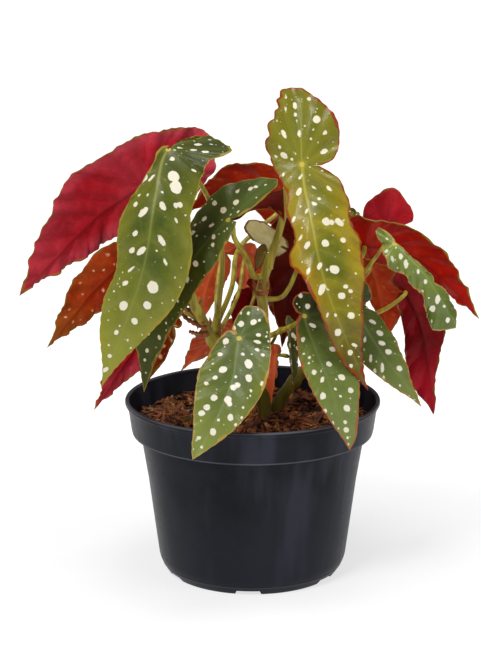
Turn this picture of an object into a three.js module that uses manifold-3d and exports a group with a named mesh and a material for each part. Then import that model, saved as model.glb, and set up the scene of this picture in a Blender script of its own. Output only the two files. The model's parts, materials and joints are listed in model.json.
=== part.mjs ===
// A polka dot begonia in a round black nursery pot. Millimetres, +Z up, the origin under the middle of
// the pot.
// The pot holds the soil, four canes stand in holes in the soil, leaf stalks grow out of the canes, and each
// leaf blade sits at the end of its stalk. The front of the plant faces -Y.
import * as THREE from 'three';
import { mergeVertices } from 'three/addons/utils/BufferGeometryUtils.js';
import Module from 'manifold-3d';

const wasm = await Module();
wasm.setup();

// The pot
const POT_HEIGHT = 118;
const RIM_RADIUS = 85;
const BAND_DEPTH = 22;
const BAND_FOOT_RADIUS = 78.5;
const BODY_TOP_RADIUS = 73;
const BODY_FOOT_RADIUS = 61.5;
const FOOT_RADIUS = 56;
const POT_FOOT_RISE = 9;
const POT_WALL = 2;
const FLOOR_LOW = 4;
const FLOOR_THICK = 2.4;
const POT_SIDES = 48;
const NOTCH_COUNT = 6;
const NOTCH_WIDTH = 18;
const NOTCH_HEIGHT = 3.2;
const NOTCH_SLANT = 2.4;
const DRAIN_COUNT = 8;
const DRAIN_RADIUS = 4.5;
const DRAIN_CIRCLE = 40;

// The soil
const SOIL_TOP = 103;
const SOIL_GAP = 0.5;
const SOIL_HUMP = 2.2;
const SOIL_RINGS = 7;
const SOIL_SIDES = 36;
const CHIP_COUNT = 16;
const STEM_HOLE_GAP = 0.35;
const STEM_DEPTH = 24;

// The leaves and stalks
const BLADE_THICK = 0.8;
const STALK_GAP = 0.5;
const STALK_SIDES = 6;
const CANE_SIDES = 8;

const DEGREE = Math.PI / 180;
const vec = (p) => new THREE.Vector3(p[0], p[1], p[2]);
const mix = (a, b, t) => a + (b - a) * t;

// A repeatable number between 0 and 1 for each seed
const draw = (seed) => {
  const s = Math.sin(seed * 12.9898 + 4.1414) * 43758.5453;
  return s - Math.floor(s);
};

const smoothstep = (low, high, x) => {
  const t = Math.min(1, Math.max(0, (x - low) / (high - low)));
  return t * t * (3 - 2 * t);
};

// Solids and booleans

const solidOf = (geometry) => {
  const bare = geometry.clone();
  bare.deleteAttribute('normal');
  bare.deleteAttribute('uv');
  const merged = mergeVertices(bare, 1e-4);
  return new wasm.Manifold(new wasm.Mesh({
    numProp: 3,
    vertProperties: new Float32Array(merged.attributes.position.array),
    triVerts: new Uint32Array(merged.index.array),
  }));
};

const geometryOf = (solid) => {
  const mesh = solid.getMesh();
  const geometry = new THREE.BufferGeometry();
  geometry.setAttribute('position', new THREE.BufferAttribute(mesh.vertProperties, 3));
  geometry.setIndex(new THREE.BufferAttribute(mesh.triVerts, 1));
  return geometry;
};

const geometryFrom = (points, faces) => {
  const geometry = new THREE.BufferGeometry();
  geometry.setAttribute('position', new THREE.Float32BufferAttribute(points.flatMap((p) => p.toArray()), 3));
  geometry.setIndex(faces.flat());
  return geometry;
};

// A closed round bar along a path, whose radius changes along it
const sweep = (path, radiusAt, rings, sides) => {
  const frames = path.computeFrenetFrames(rings, false);
  const points = [];
  const faces = [];
  for (let i = 0; i <= rings; i++) {
    const centre = path.getPointAt(i / rings);
    const radius = radiusAt(i / rings);
    for (let k = 0; k < sides; k++) {
      const turn = (2 * Math.PI * k) / sides;
      const out = frames.normals[i].clone().multiplyScalar(Math.cos(turn));
      out.addScaledVector(frames.binormals[i], Math.sin(turn));
      points.push(centre.clone().addScaledVector(out, radius));
    }
  }
  for (let i = 0; i < rings; i++) {
    for (let k = 0; k < sides; k++) {
      const a = i * sides + k;
      const b = i * sides + ((k + 1) % sides);
      faces.push([a, b, b + sides], [a, b + sides, a + sides]);
    }
  }
  const last = rings * sides;
  for (let k = 1; k < sides - 1; k++) {
    faces.push([0, k + 1, k], [last, last + k, last + k + 1]);
  }
  return geometryFrom(points, faces);
};

// The leaf blade

// Half outlines from the tip to the notch at the stalk: [share of length, share of half width].
// Behind the stalk, where x is negative, it is a share of the ear's length.
const PLAIN_HALF = [[1, 0], [0.9, 0.15], [0.74, 0.47], [0.56, 0.8], [0.36, 1], [0.17, 0.95],
  [0.04, 0.7], [-0.06, 0.42]];
const EAR_HALF = [[1, 0], [0.9, 0.13], [0.74, 0.42], [0.56, 0.72], [0.36, 0.93], [0.16, 1], [0, 1.02],
  [-0.45, 0.93], [-0.82, 0.6], [-1, 0.06], [-0.86, -0.5], [-0.5, -0.78], [-0.16, -0.62]];
const VEIN_LEAN = 0.84;

const halfOutline = (leaf, half, size) => {
  const eared = half === leaf.ear_side;
  const shape = eared ? leaf.eared ?? EAR_HALF : leaf.plain ?? PLAIN_HALF;
  const width = eared ? leaf.wide[1] : leaf.wide[0];
  const points = shape.map(([x, y]) => new THREE.Vector3(x < 0 ? x * size.ear : x * size.length,
    y * width, 0));
  return new THREE.CatmullRomCurve3(points, false, 'centripetal');
};

// Where on the half outline each side vein ends: the veins of the blade leave the midrib at even stations,
// and those of the lobe all leave the stalk.
const veinEnds = (curve, stations, lobeLines, length) => {
  const steps = 240;
  const samples = curve.getSpacedPoints(steps);
  const start = samples.map((p) => Math.min(1, Math.max(0, (p.x - VEIN_LEAN * Math.abs(p.y)) / length)));
  const ends = stations.map((station) => {
    const i = start.findIndex((s, k) => k > 0 && s <= station);
    const share = (start[i - 1] - station) / Math.max(1e-9, start[i - 1] - start[i]);
    return (i - 1 + Math.min(1, Math.max(0, share))) / steps;
  });
  const last = ends[ends.length - 1];
  for (let i = 1; i <= lobeLines; i++) {
    ends.push(mix(last, 1, i / lobeLines));
  }
  return ends;
};

const bladeFrame = (leaf) => {
  const points = [leaf.ear, ...leaf.rib].map(vec);
  const spine = new THREE.CatmullRomCurve3(points, false, 'centripetal');
  spine.arcLengthDivisions = 400;
  const lengths = spine.getLengths(400);
  const total = lengths[400];
  const ear = lengths[Math.round(400 / (points.length - 1))];
  const length = total - ear;
  const faces = leaf.faces.map(vec);
  const frameAt = (x) => {
    const u = Math.min(1, Math.max(0, (ear + x) / total));
    const centre = spine.getPointAt(u);
    const along = spine.getTangentAt(u);
    const face = x < 0
      ? faces[1].clone().lerp(faces[0], smoothstep(0, 1, -x / ear))
      : faces[1].clone().lerp(faces[2], smoothstep(0, 1, x / length));
    const up = face.addScaledVector(along, -face.dot(along)).normalize();
    const side = up.clone().cross(along);
    return { centre, along, up, side };
  };
  return { ear, length, frameAt };
};

// A point of the blade in space: x along the midrib, y to the left, lift above the blade's own plane
const bladePoint = (leaf, frame, x, y, lift) => {
  const half = y < 0 ? 0 : 1;
  const width = Math.max(leaf.wide[0], leaf.wide[1]);
  const crease = smoothstep(-0.5 * frame.ear, 0.15 * frame.length, x);
  const fold = leaf.fold[half] * DEGREE * crease;
  const curl = (leaf.curl[half] * DEGREE * mix(0.35, 1, crease)) / width + 1e-6;
  const reach = Math.abs(y);
  const across = (Math.sin(fold + curl * reach) - Math.sin(fold)) / curl;
  const rise = (Math.cos(fold) - Math.cos(fold + curl * reach)) / curl;
  const { centre, up, side } = frame.frameAt(x);
  return centre.addScaledVector(side, (half ? 1 : -1) * across).addScaledVector(up, rise + lift);
};

const bladeGeometry = (leaf) => {
  const frame = bladeFrame(leaf);
  const size = { length: frame.length, ear: frame.ear };
  const { ribs, rows, lobes } = leaf.fine ?? (frame.length > 75
    ? { ribs: 10, rows: 3, lobes: [2, 7] }
    : { ribs: 7, rows: 2, lobes: [2, 5] });
  const stations = Array.from({ length: ribs }, (_, i) => 1 - (i + 1) / ribs);
  const points = [];
  const ids = [1, 0].map(() => []);
  const spineIds = [];
  const put = (x, y, lift) => points.push(bladePoint(leaf, frame, x, y, lift)) - 1;
  spineIds.push(put(frame.length, 0, 0));
  stations.forEach((s) => spineIds.push(put(s * frame.length, 0, 0)));
  [1, -1].forEach((half, h) => {
    const curve = halfOutline(leaf, half, size);
    const eared = half === leaf.ear_side;
    const ends = veinEnds(curve, stations, lobes[eared ? 1 : 0], frame.length);
    ids[h].push(Array(rows + 1).fill(spineIds[0]));
    ends.forEach((end, i) => {
      const start = i < ribs ? stations[i] * frame.length : 0;
      const edge = curve.getPointAt(end);
      const notch = 1 - smoothstep(0.94, 1, end) * (i < ribs ? 0 : 1);
      const tooth = (i % 2 ? 1 : -1) * leaf.tooth * (0.5 + draw(leaf.seed + i * 1.7 + h * 31)) * notch;
      const reach = Math.hypot(edge.x - start, edge.y);
      const line = [i < ribs ? spineIds[i + 1] : spineIds[ribs]];
      for (let j = 1; j <= rows; j++) {
        const v = j / rows;
        const stretch = j === rows ? 1 + tooth / Math.max(reach, 1) : 1;
        const x = mix(start, edge.x, v * stretch);
        const y = half * edge.y * v * stretch;
        line.push(put(x, y, edgeWave(leaf, h, end, v)));
      }
      ids[h].push(line);
    });
  });
  return closeBlade(points, ids);
};

// The waved edge: long waves along the margin, with a seeded phase, that die out towards the midrib
const edgeWave = (leaf, h, end, v) => {
  const phase = 2 * Math.PI * draw(leaf.seed + h * 17);
  const fade = smoothstep(0, 0.12, end) * (1 - smoothstep(0.9, 1, end));
  const turn = 2 * Math.PI * leaf.waves * end + phase;
  const wave = Math.sin(turn) + 0.4 * Math.sin(2.3 * turn + 1.3 + phase);
  return leaf.wave * wave * v * v * fade;
};

// Gives the blade its thickness: the same triangles on both faces, and a wall round the edge
const closeBlade = (points, ids) => {
  const top = [];
  const addFace = (a, b, c, flip) => {
    if (a !== b && b !== c && a !== c) {
      top.push(flip ? [a, c, b] : [a, b, c]);
    }
  };
  ids.forEach((lines, h) => {
    for (let i = 0; i < lines.length - 1; i++) {
      for (let j = 0; j < lines[i].length - 1; j++) {
        addFace(lines[i][j], lines[i + 1][j], lines[i + 1][j + 1], h === 0);
        addFace(lines[i][j], lines[i + 1][j + 1], lines[i][j + 1], h === 0);
      }
    }
  });
  const count = points.length;
  const normals = points.map(() => new THREE.Vector3());
  const cross = new THREE.Vector3();
  const ab = new THREE.Vector3();
  top.forEach(([a, b, c]) => {
    ab.subVectors(points[b], points[a]);
    cross.subVectors(points[c], points[a]);
    ab.cross(cross);
    [a, b, c].forEach((i) => normals[i].add(ab));
  });
  const upper = points.map((p, i) => p.clone().addScaledVector(normals[i].normalize(), BLADE_THICK / 2));
  const lower = points.map((p, i) => p.clone().addScaledVector(normals[i], -BLADE_THICK / 2));
  const under = top.map(([a, b, c]) => [a + count, c + count, b + count]);
  const edges = new Map();
  top.forEach(([a, b, c]) => [[a, b], [b, c], [c, a]].forEach(([p, q]) => {
    if (!edges.delete(q + '_' + p)) {
      edges.set(p + '_' + q, [p, q]);
    }
  }));
  const wall = [...edges.values()].flatMap(([p, q]) => [[q, p, p + count], [q, p + count, q + count]]);
  return geometryFrom([...upper, ...lower], [...top, ...under, ...wall]);
};

// The leaves. colour: that of the side which the front shows; rib: stalk end, middle points and tip;
// ear: the far end of the lobe behind the stalk;
// faces: which way the upper side looks at the ear, the stalk and the tip; ear_side: 1 for the left half;
// wide: half widths of the plain and the eared half; fold and curl: right and left half, in degrees;
// plain and eared: half outlines of its own; stalk: the cane it grows from, how far up that cane,
// the points that it passes and its radius.
const LEAVES = [
  { name: 'leaf_crown', colour: '#8a8428', rib: [[31, -28, 280], [37, -50, 245], [47, -66, 205],
    [73, -70, 142]], ear: [31, -7, 327],
    faces: [[0.05, -1, -0.15], [0.1, -1, 0.3], [0.2, -1, 0.2]], ear_side: -1, wide: [31, 25],
    plain: [[1, 0], [0.93, 0.06], [0.84, 0.28], [0.7, 0.62], [0.54, 0.86], [0.36, 1], [0.17, 0.9],
      [0.06, 0.66], [0.01, 0.36]],
    eared: [[1, 0], [0.93, 0.22], [0.82, 0.48], [0.66, 0.6], [0.5, 0.58], [0.34, 0.52], [0.2, 0.6],
      [0.08, 0.7],
      [-0.12, 0.84], [-0.4, 0.9], [-0.7, 0.76], [-0.97, 0.52], [-1.03, 0], [-0.86, -0.68],
        [-0.55, -1.04], [-0.2, -1.05], [-0.04, -0.6]],
    fold: [-10, 4], curl: [-30, -16], wave: 2, waves: 5, tooth: 0.8, seed: 3,
    stalk: { cane: 'cane_centre', at: 0.97, via: [[15, -7, 225], [20, -7, 244], [22, -8, 262]],
      radius: 2.4 } },
  { name: 'leaf_left_front', colour: '#6f7a3a', rib: [[-53, -62, 295], [-60, -80, 272],
    [-68, -90, 226], [-95, -84, 149]],
    ear: [-18, -25, 298], faces: [[0.1, -0.1, 1], [0, -0.6, 0.8], [-0.1, -1, 0.1]],
      ear_side: 1, wide: [26, 30],
    plain: [[1, 0], [0.9, 0.24], [0.78, 0.68], [0.68, 0.84], [0.56, 0.78], [0.42, 0.88], [0.32, 0.86],
      [0.25, 0.6], [0.17, 0.3],
      [0.06, 0.16], [-0.06, 0.1]],
    eared: [[1, 0], [0.9, 0.16], [0.74, 0.52], [0.58, 0.86], [0.42, 0.94], [0.28, 0.8], [0.14, 0.86],
      [0, 0.94],
      [-0.4, 0.86], [-0.78, 0.74], [-0.98, 0.4], [-0.98, 0], [-0.6, -0.12], [-0.2, -0.12]],
    fold: [-18, -6], curl: [-24, -20], wave: 1.4, waves: 4.5, tooth: 0.6, seed: 5,
    stalk: { cane: 'cane_back', at: 0.98, via: [[-22, 0, 186], [-20, -3, 212], [-24, -10, 240],
      [-34, -30, 268]], radius: 1.7 } },
  { name: 'leaf_left_inner', colour: '#3f4a24', rib: [[-16, -47, 248], [-41, -58, 220],
    [-60, -60, 184], [-70, -52, 136]],
    ear: [16, -33, 271], faces: [[-0.2, -0.5, 1], [-0.5, -0.8, 0.6], [-0.4, -1, 0]],
      ear_side: -1, wide: [14, 27],
    eared: [[1, 0], [0.9, 0.2], [0.74, 0.5], [0.56, 0.78], [0.36, 0.93], [0.16, 0.98], [0, 0.98],
      [-0.45, 0.8], [-0.82, 0.5], [-1, 0.06], [-0.86, -0.16], [-0.5, -0.24], [-0.16, -0.16]],
    fold: [-6, -4], curl: [-20, -10], wave: 1.2, waves: 4, tooth: 0.5, seed: 8,
    stalk: { cane: 'cane_centre', at: 0.92, via: [[1, -14, 204], [-4, -24, 218], [-12, -36, 234]],
      radius: 1.8 } },
  { name: 'leaf_low_front', colour: '#66763f', rib: [[-9, -62, 174], [-13, -80, 154], [-22, -94, 134],
    [-38, -104, 107]],
    ear: [3, -50, 192], faces: [[0.1, -1, 0.6], [0.05, -1, 0.7], [0.1, -1, 0.3]], ear_side: 1, wide: [17, 22],
    eared: [[1, 0], [0.9, 0.2], [0.74, 0.5], [0.56, 0.76], [0.36, 0.95], [0.16, 1], [0, 0.98],
      [-0.45, 0.8], [-0.82, 0.5], [-1, 0.06], [-0.86, -0.3], [-0.5, -0.36], [-0.16, -0.3]],
    fold: [6, 8], curl: [-14, -14], wave: 0.8, waves: 4, tooth: 0.4, seed: 11,
    stalk: { cane: 'cane_centre', at: 0.5, via: [[6, -20, 158], [0, -38, 166]], radius: 1.6 } },
  { name: 'leaf_right_front', colour: '#55643a', rib: [[33, -42, 184], [39.5, -60, 166],
    [49.5, -78, 145], [65, -84, 106]],
    ear: [33, -32, 198], faces: [[0.1, -1, 0.4], [0.2, -1, 0.5], [0.2, -1, 0.2]], ear_side: 1, wide: [19, 21],
    plain: [[1, 0], [0.9, 0.22], [0.74, 0.58], [0.56, 0.88], [0.36, 0.9], [0.17, 0.62], [0.04, 0.36],
      [-0.04, 0.2]],
    eared: [[1, 0], [0.9, 0.13], [0.74, 0.42], [0.56, 0.72], [0.36, 0.93], [0.16, 1], [0, 1.02],
      [-0.45, 0.93], [-0.82, 0.6], [-1, 0.06], [-0.86, -0.2], [-0.5, -0.34], [-0.16, -0.24]],
    fold: [8, -2], curl: [-20, -16], wave: 1, waves: 4, tooth: 0.4, seed: 14,
    stalk: { cane: 'cane_centre', at: 0.6, via: [[15, -12, 165], [26, -26, 174]], radius: 1.7 } },
  { name: 'leaf_right_low', colour: '#5d6c44', rib: [[65, -22, 188], [73, -34, 174], [84, -42, 158],
    [109, -44, 124]],
    ear: [69, -12, 203], faces: [[0.3, -1, 0.2], [0.5, -1, 0.4], [0.4, -1, 0.3]],
      ear_side: -1, wide: [16, 17],
    fold: [-6, -4], curl: [-16, -16], wave: 0.9, waves: 4, tooth: 0.5, seed: 17,
    stalk: { cane: 'cane_right', at: 0.8, via: [[46, 0, 158], [56, -8, 174]], radius: 1.6 } },
  { name: 'leaf_right_narrow', colour: '#7a8a5c', rib: [[91, -30, 229], [107, -38, 214],
    [120, -44, 196], [130, -46, 177]],
    ear: [80, -23, 237], faces: [[-0.5, -0.8, 0.5], [-0.5, -0.8, 0.5], [-0.4, -0.9, 0.3]], ear_side: -1,
    wide: [16, 17], fold: [-4, -58], curl: [-10, -30], wave: 2, waves: 5, tooth: 0.4, seed: 20,
    plain: [[1, 0], [0.9, 0.2], [0.74, 0.5], [0.56, 0.8], [0.4, 0.85], [0.27, 0.6], [0.15, 0.16],
      [-0.02, 0.06]],
    eared: [[1, 0], [0.95, 0.36], [0.8, 0.95], [0.62, 1.1], [0.42, 0.84], [0.22, 0.74], [0, 0.6],
      [-0.45, 0.36], [-0.82, 0.22], [-1, 0.04], [-0.86, -0.1], [-0.5, -0.16], [-0.16, -0.1]],
    stalk: { cane: 'cane_right', at: 0.97, via: [[66, 0, 194], [79, -10, 214]],
      radius: 1.2, lean: 6, gap: 0.4 } },
  { name: 'leaf_left_back', colour: '#8f2a20', rib: [[-72, 28, 256], [-100, 30, 238], [-127, 20, 213],
    [-154, 2, 187]],
    ear: [-28, 48, 286], faces: [[-0.3, 1, 0.1], [-0.3, 1, 0.2], [-0.5, 1, 0.3]], ear_side: 1, wide: [19, 35],
    eared: [[1, 0], [0.9, 0.2], [0.74, 0.48], [0.56, 0.78], [0.36, 0.98], [0.16, 1.05], [0, 1],
      [-0.45, 0.76], [-0.82, 0.42], [-1, 0.06], [-0.86, -0.5], [-0.5, -0.78], [-0.16, -0.62]],
    fold: [-6, 2], curl: [-24, -14], wave: 1.6, waves: 5, tooth: 0.9, seed: 23,
    stalk: { cane: 'cane_left', at: 0.96, via: [[-52, -16, 232], [-60, 8, 246]], radius: 1.8 } },
  { name: 'leaf_left_low', colour: '#8f2a20', rib: [[-91, 28, 200], [-107, 26, 184], [-121, 20, 168],
    [-137, 8, 150]],
    ear: [-80, 36, 209], faces: [[-0.4, 1, 0.2], [-0.4, 1, 0.2], [-0.6, 1, 0.4]], ear_side: 1, wide: [14, 18],
    fold: [-8, 6], curl: [-16, -10], wave: 1.1, waves: 5, tooth: 0.5, seed: 26,
    stalk: { cane: 'cane_left', at: 0.9, via: [[-62, -8, 204], [-78, 8, 200]], radius: 1.5 } },
  { name: 'leaf_left_hanging', colour: '#8f2a20', rib: [[-68, -4, 168], [-80, -8, 151],
    [-92, -16, 134], [-104, -26, 117]],
    ear: [-60, 2, 178], faces: [[-0.4, 1, 0.2], [-0.4, 1, 0.3], [-0.7, 0.8, 0.3]],
      ear_side: -1, wide: [14, 14],
    fold: [-6, 6], curl: [-12, -10], wave: 1.1, waves: 5, tooth: 0.5, seed: 29,
    stalk: { cane: 'cane_left', at: 0.7, via: [[-46, -20, 184], [-58, -12, 180]], radius: 1.4 } },
  { name: 'leaf_left_small', colour: '#8f2a20', rib: [[-56, 40, 157], [-62, 44, 146], [-66, 46, 136],
    [-72, 44, 122]],
    ear: [-52, 36, 165], faces: [[0.2, 1, 0.1], [0.2, 1, 0.1], [-0.2, 1, 0.1]], ear_side: 1, wide: [8, 9],
    fold: [4, 6], curl: [-12, -10], wave: 0.8, waves: 4, tooth: 0.4, seed: 32,
    stalk: { cane: 'cane_left', at: 0.76, via: [[-46, -12, 187], [-56, 16, 176]], radius: 1.1 } },
  { name: 'leaf_left_bud', colour: '#8f2a20', rib: [[-64, 18, 152], [-67, 18, 143], [-70, 16, 134],
    [-72, 14, 122]],
    ear: [-60, 18, 159], faces: [[-0.2, 1, 0.1], [-0.2, 1, 0.1], [-0.2, 1, 0.1]], ear_side: -1, wide: [9, 10],
    fold: [4, 6], curl: [-12, -10], wave: 0.7, waves: 4, tooth: 0.4, seed: 35,
    stalk: { cane: 'cane_left', at: 0.66, via: [[-42, -14, 178], [-52, 8, 172]], radius: 1.1 } },
  { name: 'leaf_back_top', colour: '#8f2a20', rib: [[23, 58, 238], [8, 66, 250], [-14, 72, 250],
    [-46, 76, 228]],
    ear: [40, 50, 246], faces: [[0.2, 1, 0.2], [0, 1, 0.35], [-0.2, 1, 0.2]], ear_side: -1, wide: [17, 18],
    fold: [2, -4], curl: [-24, -24], wave: 1.4, waves: 4, tooth: 0.5, seed: 38,
    stalk: { cane: 'cane_back', at: 0.94, via: [[-14, 12, 190], [-10, 26, 212], [6, 40, 226]],
      radius: 1.6 } },
  { name: 'leaf_right_back', colour: '#8f2a20', rib: [[74, 14, 218], [98, 18, 215], [126, 16, 196],
    [151, 12, 169]],
    ear: [56, 14, 220], faces: [[0.1, 1, 0.4], [0.1, 1, 0.5], [0.5, 1, 0.5]], ear_side: -1, wide: [17, 26],
    fold: [-4, 6], curl: [-24, -20], wave: 1.2, waves: 5, tooth: 0.6, seed: 41,
    stalk: { cane: 'cane_right', at: 0.99, via: [[66, 8, 202]], radius: 1.7 } },
  { name: 'leaf_right_top', colour: '#8f2a20', rib: [[91, 50, 222], [98, 58, 206], [106, 66, 188],
    [112, 70, 162]],
    ear: [94, 46, 251], faces: [[-0.1, 1, -0.1], [0, 1, 0.2], [0, 1, 0.3]], ear_side: 1, wide: [15, 17],
    fold: [4, 4], curl: [-14, -12], wave: 1, waves: 4, tooth: 0.6, seed: 44,
    stalk: { cane: 'cane_right', at: 0.95, via: [[57, 30, 198], [70, 44, 214]], radius: 1.5 } },
  { name: 'leaf_right_hanging', colour: '#8f2a20', rib: [[101, 6, 189], [112, 8, 165], [117, 6, 140],
    [121, 0, 106]],
    ear: [84, 2, 210], faces: [[0.1, 1, 0.1], [0.1, 1, 0.1], [0.2, 1, 0]], ear_side: -1, wide: [13, 16],
    fold: [4, 8], curl: [-16, -14], wave: 1.8, waves: 5, tooth: 0.5, seed: 47,
    stalk: { cane: 'cane_right', at: 0.85, via: [[70, 0, 172], [88, -4, 180]], radius: 1.5 } },
  { name: 'leaf_right_inner', colour: '#8f2a20', rib: [[79, 33, 202], [84, 41, 186], [88, 46, 170],
    [93, 47, 149]],
    ear: [74, 27, 214], faces: [[0.1, 1, 0.2], [0.1, 1, 0.2], [0.1, 1, 0.1]], ear_side: -1, wide: [8, 18],
    fold: [2, 4], curl: [-20, -20], wave: 1, waves: 4, tooth: 0.5, seed: 50,
    stalk: { cane: 'cane_right', at: 0.92, via: [[62, 18, 180], [72, 22, 192]], radius: 1.5 } },
  { name: 'leaf_pale_young', colour: '#a79a62', rib: [[14, 6, 222], [8, 10, 226], [0, 12, 229],
    [-6, 12, 231]],
    ear: [24, 6, 217], faces: [[-0.2, 1, 0.6], [-0.2, 1, 0.6], [-0.2, 1, 0.6]], ear_side: -1, wide: [7, 8],
    fold: [10, 10], curl: [10, 20], wave: 0.6, waves: 4, tooth: 0.4, seed: 53,
    stalk: { cane: 'cane_centre', at: 0.98, via: [[12, 0, 212]], radius: 1.1 } },
  { name: 'leaf_pale_small', colour: '#7d7a3c', rib: [[8, 16, 214], [6, 18, 209], [4, 20, 204], [1, 20, 199]],
    ear: [11, 15, 218], faces: [[-0.2, 1, 0.2], [-0.2, 1, 0.2], [-0.2, 1, 0.2]], ear_side: 1, wide: [4, 5],
    fold: [6, 6], curl: [10, 10], wave: 0.4, waves: 3, tooth: 0.2, seed: 56,
    stalk: { cane: 'cane_centre', at: 0.93, via: [[7, 6, 204]], radius: 0.9 } },
  { name: 'leaf_back_low_left', colour: '#8f2a20', rib: [[-14, 62, 150], [-26, 72, 141],
    [-36, 80, 130], [-50, 86, 113]],
    ear: [-6, 54, 157], faces: [[-0.2, 1, 0.5], [-0.3, 1, 0.5], [-0.4, 1, 0.5]], ear_side: -1, wide: [13, 15],
    fold: [4, 6], curl: [-14, -12], wave: 1, waves: 4, tooth: 0.5, seed: 59,
    stalk: { cane: 'cane_back', at: 0.6, via: [[-16, 34, 146]], radius: 1.4 } },
  { name: 'leaf_dark_narrow', colour: '#35401f', rib: [[24, -8, 167], [25, -12, 155], [26, -16, 142],
    [26, -18, 126]],
    ear: [24, -4, 175], faces: [[0.9, -0.5, 0.1], [0.9, -0.5, 0.1], [0.9, -0.4, 0.1]],
      ear_side: 1, wide: [8, 8],
    fold: [20, 20], curl: [-10, -10], wave: 0.7, waves: 4, tooth: 0.3, seed: 62,
    stalk: { cane: 'cane_centre', at: 0.5, via: [[14, -2, 158]], radius: 1.1 } },
  { name: 'leaf_back_left', colour: '#8f2a20', rib: [[-22, 50, 205], [-28, 58, 190], [-33, 64, 172],
    [-38, 64, 148]],
    ear: [-16, 42, 216], faces: [[-0.1, 1, 0.2], [-0.1, 1, 0.3], [-0.1, 1, 0.1]], ear_side: 1, wide: [12, 14],
    fold: [6, 8], curl: [-14, -14], wave: 1.2, waves: 4, tooth: 0.6, seed: 65,
    stalk: { cane: 'cane_back', at: 0.9, via: [[-24, 28, 184]], radius: 1.3 } },
  { name: 'leaf_back_middle', colour: '#8f2a20', rib: [[-4, 58, 203], [-3, 68, 188], [-2, 74, 172],
    [-4, 76, 150]],
    ear: [-6, 48, 213], faces: [[0.3, 1, 0.2], [0.3, 1, 0.3], [0.2, 1, 0.1]], ear_side: -1, wide: [10, 12],
    fold: [10, 10], curl: [-14, -14], wave: 1.4, waves: 5, tooth: 0.6, seed: 68,
    stalk: { cane: 'cane_back', at: 0.85, via: [[-10, 32, 180]], radius: 1.3 } },
  { name: 'leaf_back_low', colour: '#8f2a20', rib: [[1, 44, 181], [-3, 50, 171], [-6, 53, 158],
    [-8, 52, 140]],
    ear: [9, 37, 187], faces: [[0, 1, 0.4], [-0.1, 1, 0.4], [-0.2, 1, 0.2]], ear_side: -1, wide: [11, 13],
    fold: [4, 6], curl: [-14, -14], wave: 1, waves: 4, tooth: 0.5, seed: 71,
    stalk: { cane: 'cane_back', at: 0.8, via: [[-8, 24, 162]], radius: 1.3 } },
  { name: 'leaf_back_right', colour: '#8f2a20', rib: [[30, 22, 222], [28, 29, 200], [24, 33, 176],
    [20, 31, 144]],
    ear: [32, 13, 238], faces: [[0.2, 1, 0.2], [0.2, 1, 0.2], [0.2, 1, 0.1]], ear_side: 1, wide: [17, 19],
    fold: [10, 10], curl: [-20, -20], wave: 1.4, waves: 5, tooth: 0.5, seed: 74,
    stalk: { cane: 'cane_centre', at: 0.8, via: [[20, 6, 186], [30, 14, 206]], radius: 1.5 } },
  { name: 'leaf_young_top', colour: '#6c7a3e', rib: [[66, 24, 238], [64, 24, 234], [63, 24, 230],
    [63, 24, 226]],
    ear: [68, 23, 241], faces: [[-0.6, -0.8, 0.4], [-0.6, -0.8, 0.4], [-0.6, -0.8, 0.2]],
      ear_side: 1, wide: [4, 4],
    fold: [20, 20], curl: [20, 20], wave: 0.3, waves: 3, tooth: 0.2, seed: 77,
    stalk: { cane: 'cane_right', at: 0.97, via: [[56, 26, 206], [62, 34, 226]], radius: 0.9 } },
  { name: 'leaf_red_narrow', colour: '#8f2a20', rib: [[15, -16, 151], [14, -19, 142], [13, -20, 133],
    [12, -20, 119]],
    ear: [16, -13, 158], faces: [[-0.8, 0.6, 0], [-0.8, 0.6, 0], [-0.8, 0.5, 0]], ear_side: 1, wide: [7, 8],
    fold: [20, 20], curl: [-10, -10], wave: 0.7, waves: 4, tooth: 0.3, seed: 80,
    stalk: { cane: 'cane_centre', at: 0.42, via: [[15, -2, 147], [23, -8, 148]], radius: 1 } },
  { name: 'leaf_back_low_right', colour: '#8f2a20', rib: [[26, 54, 168], [32, 66, 156], [36, 74, 142],
    [38, 78, 122]],
    ear: [22, 44, 175], faces: [[0.3, 1, 0.4], [0.3, 1, 0.4], [0.3, 1, 0.1]], ear_side: 1, wide: [14, 16],
    fold: [4, 6], curl: [-16, -14], wave: 1.2, waves: 4, tooth: 0.5, seed: 83,
    stalk: { cane: 'cane_right', at: 0.5, via: [[36, 32, 146], [34, 48, 157]], radius: 1.4 } },
  { name: 'leaf_back_high', colour: '#8f2a20', rib: [[48, 60, 214], [60, 80, 198], [69, 93, 174],
    [76, 101, 140]],
    ear: [38, 48, 224], faces: [[0.2, 1, 0.5], [0.3, 1, 0.5], [0.2, 1, 0.1]], ear_side: -1, wide: [20, 24],
    fold: [4, 4], curl: [-20, -20], wave: 1.6, waves: 4, tooth: 0.6, seed: 86,
    stalk: { cane: 'cane_right', at: 0.85, via: [[48, 30, 184], [46, 42, 202]], radius: 1.6 } },
];

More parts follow.
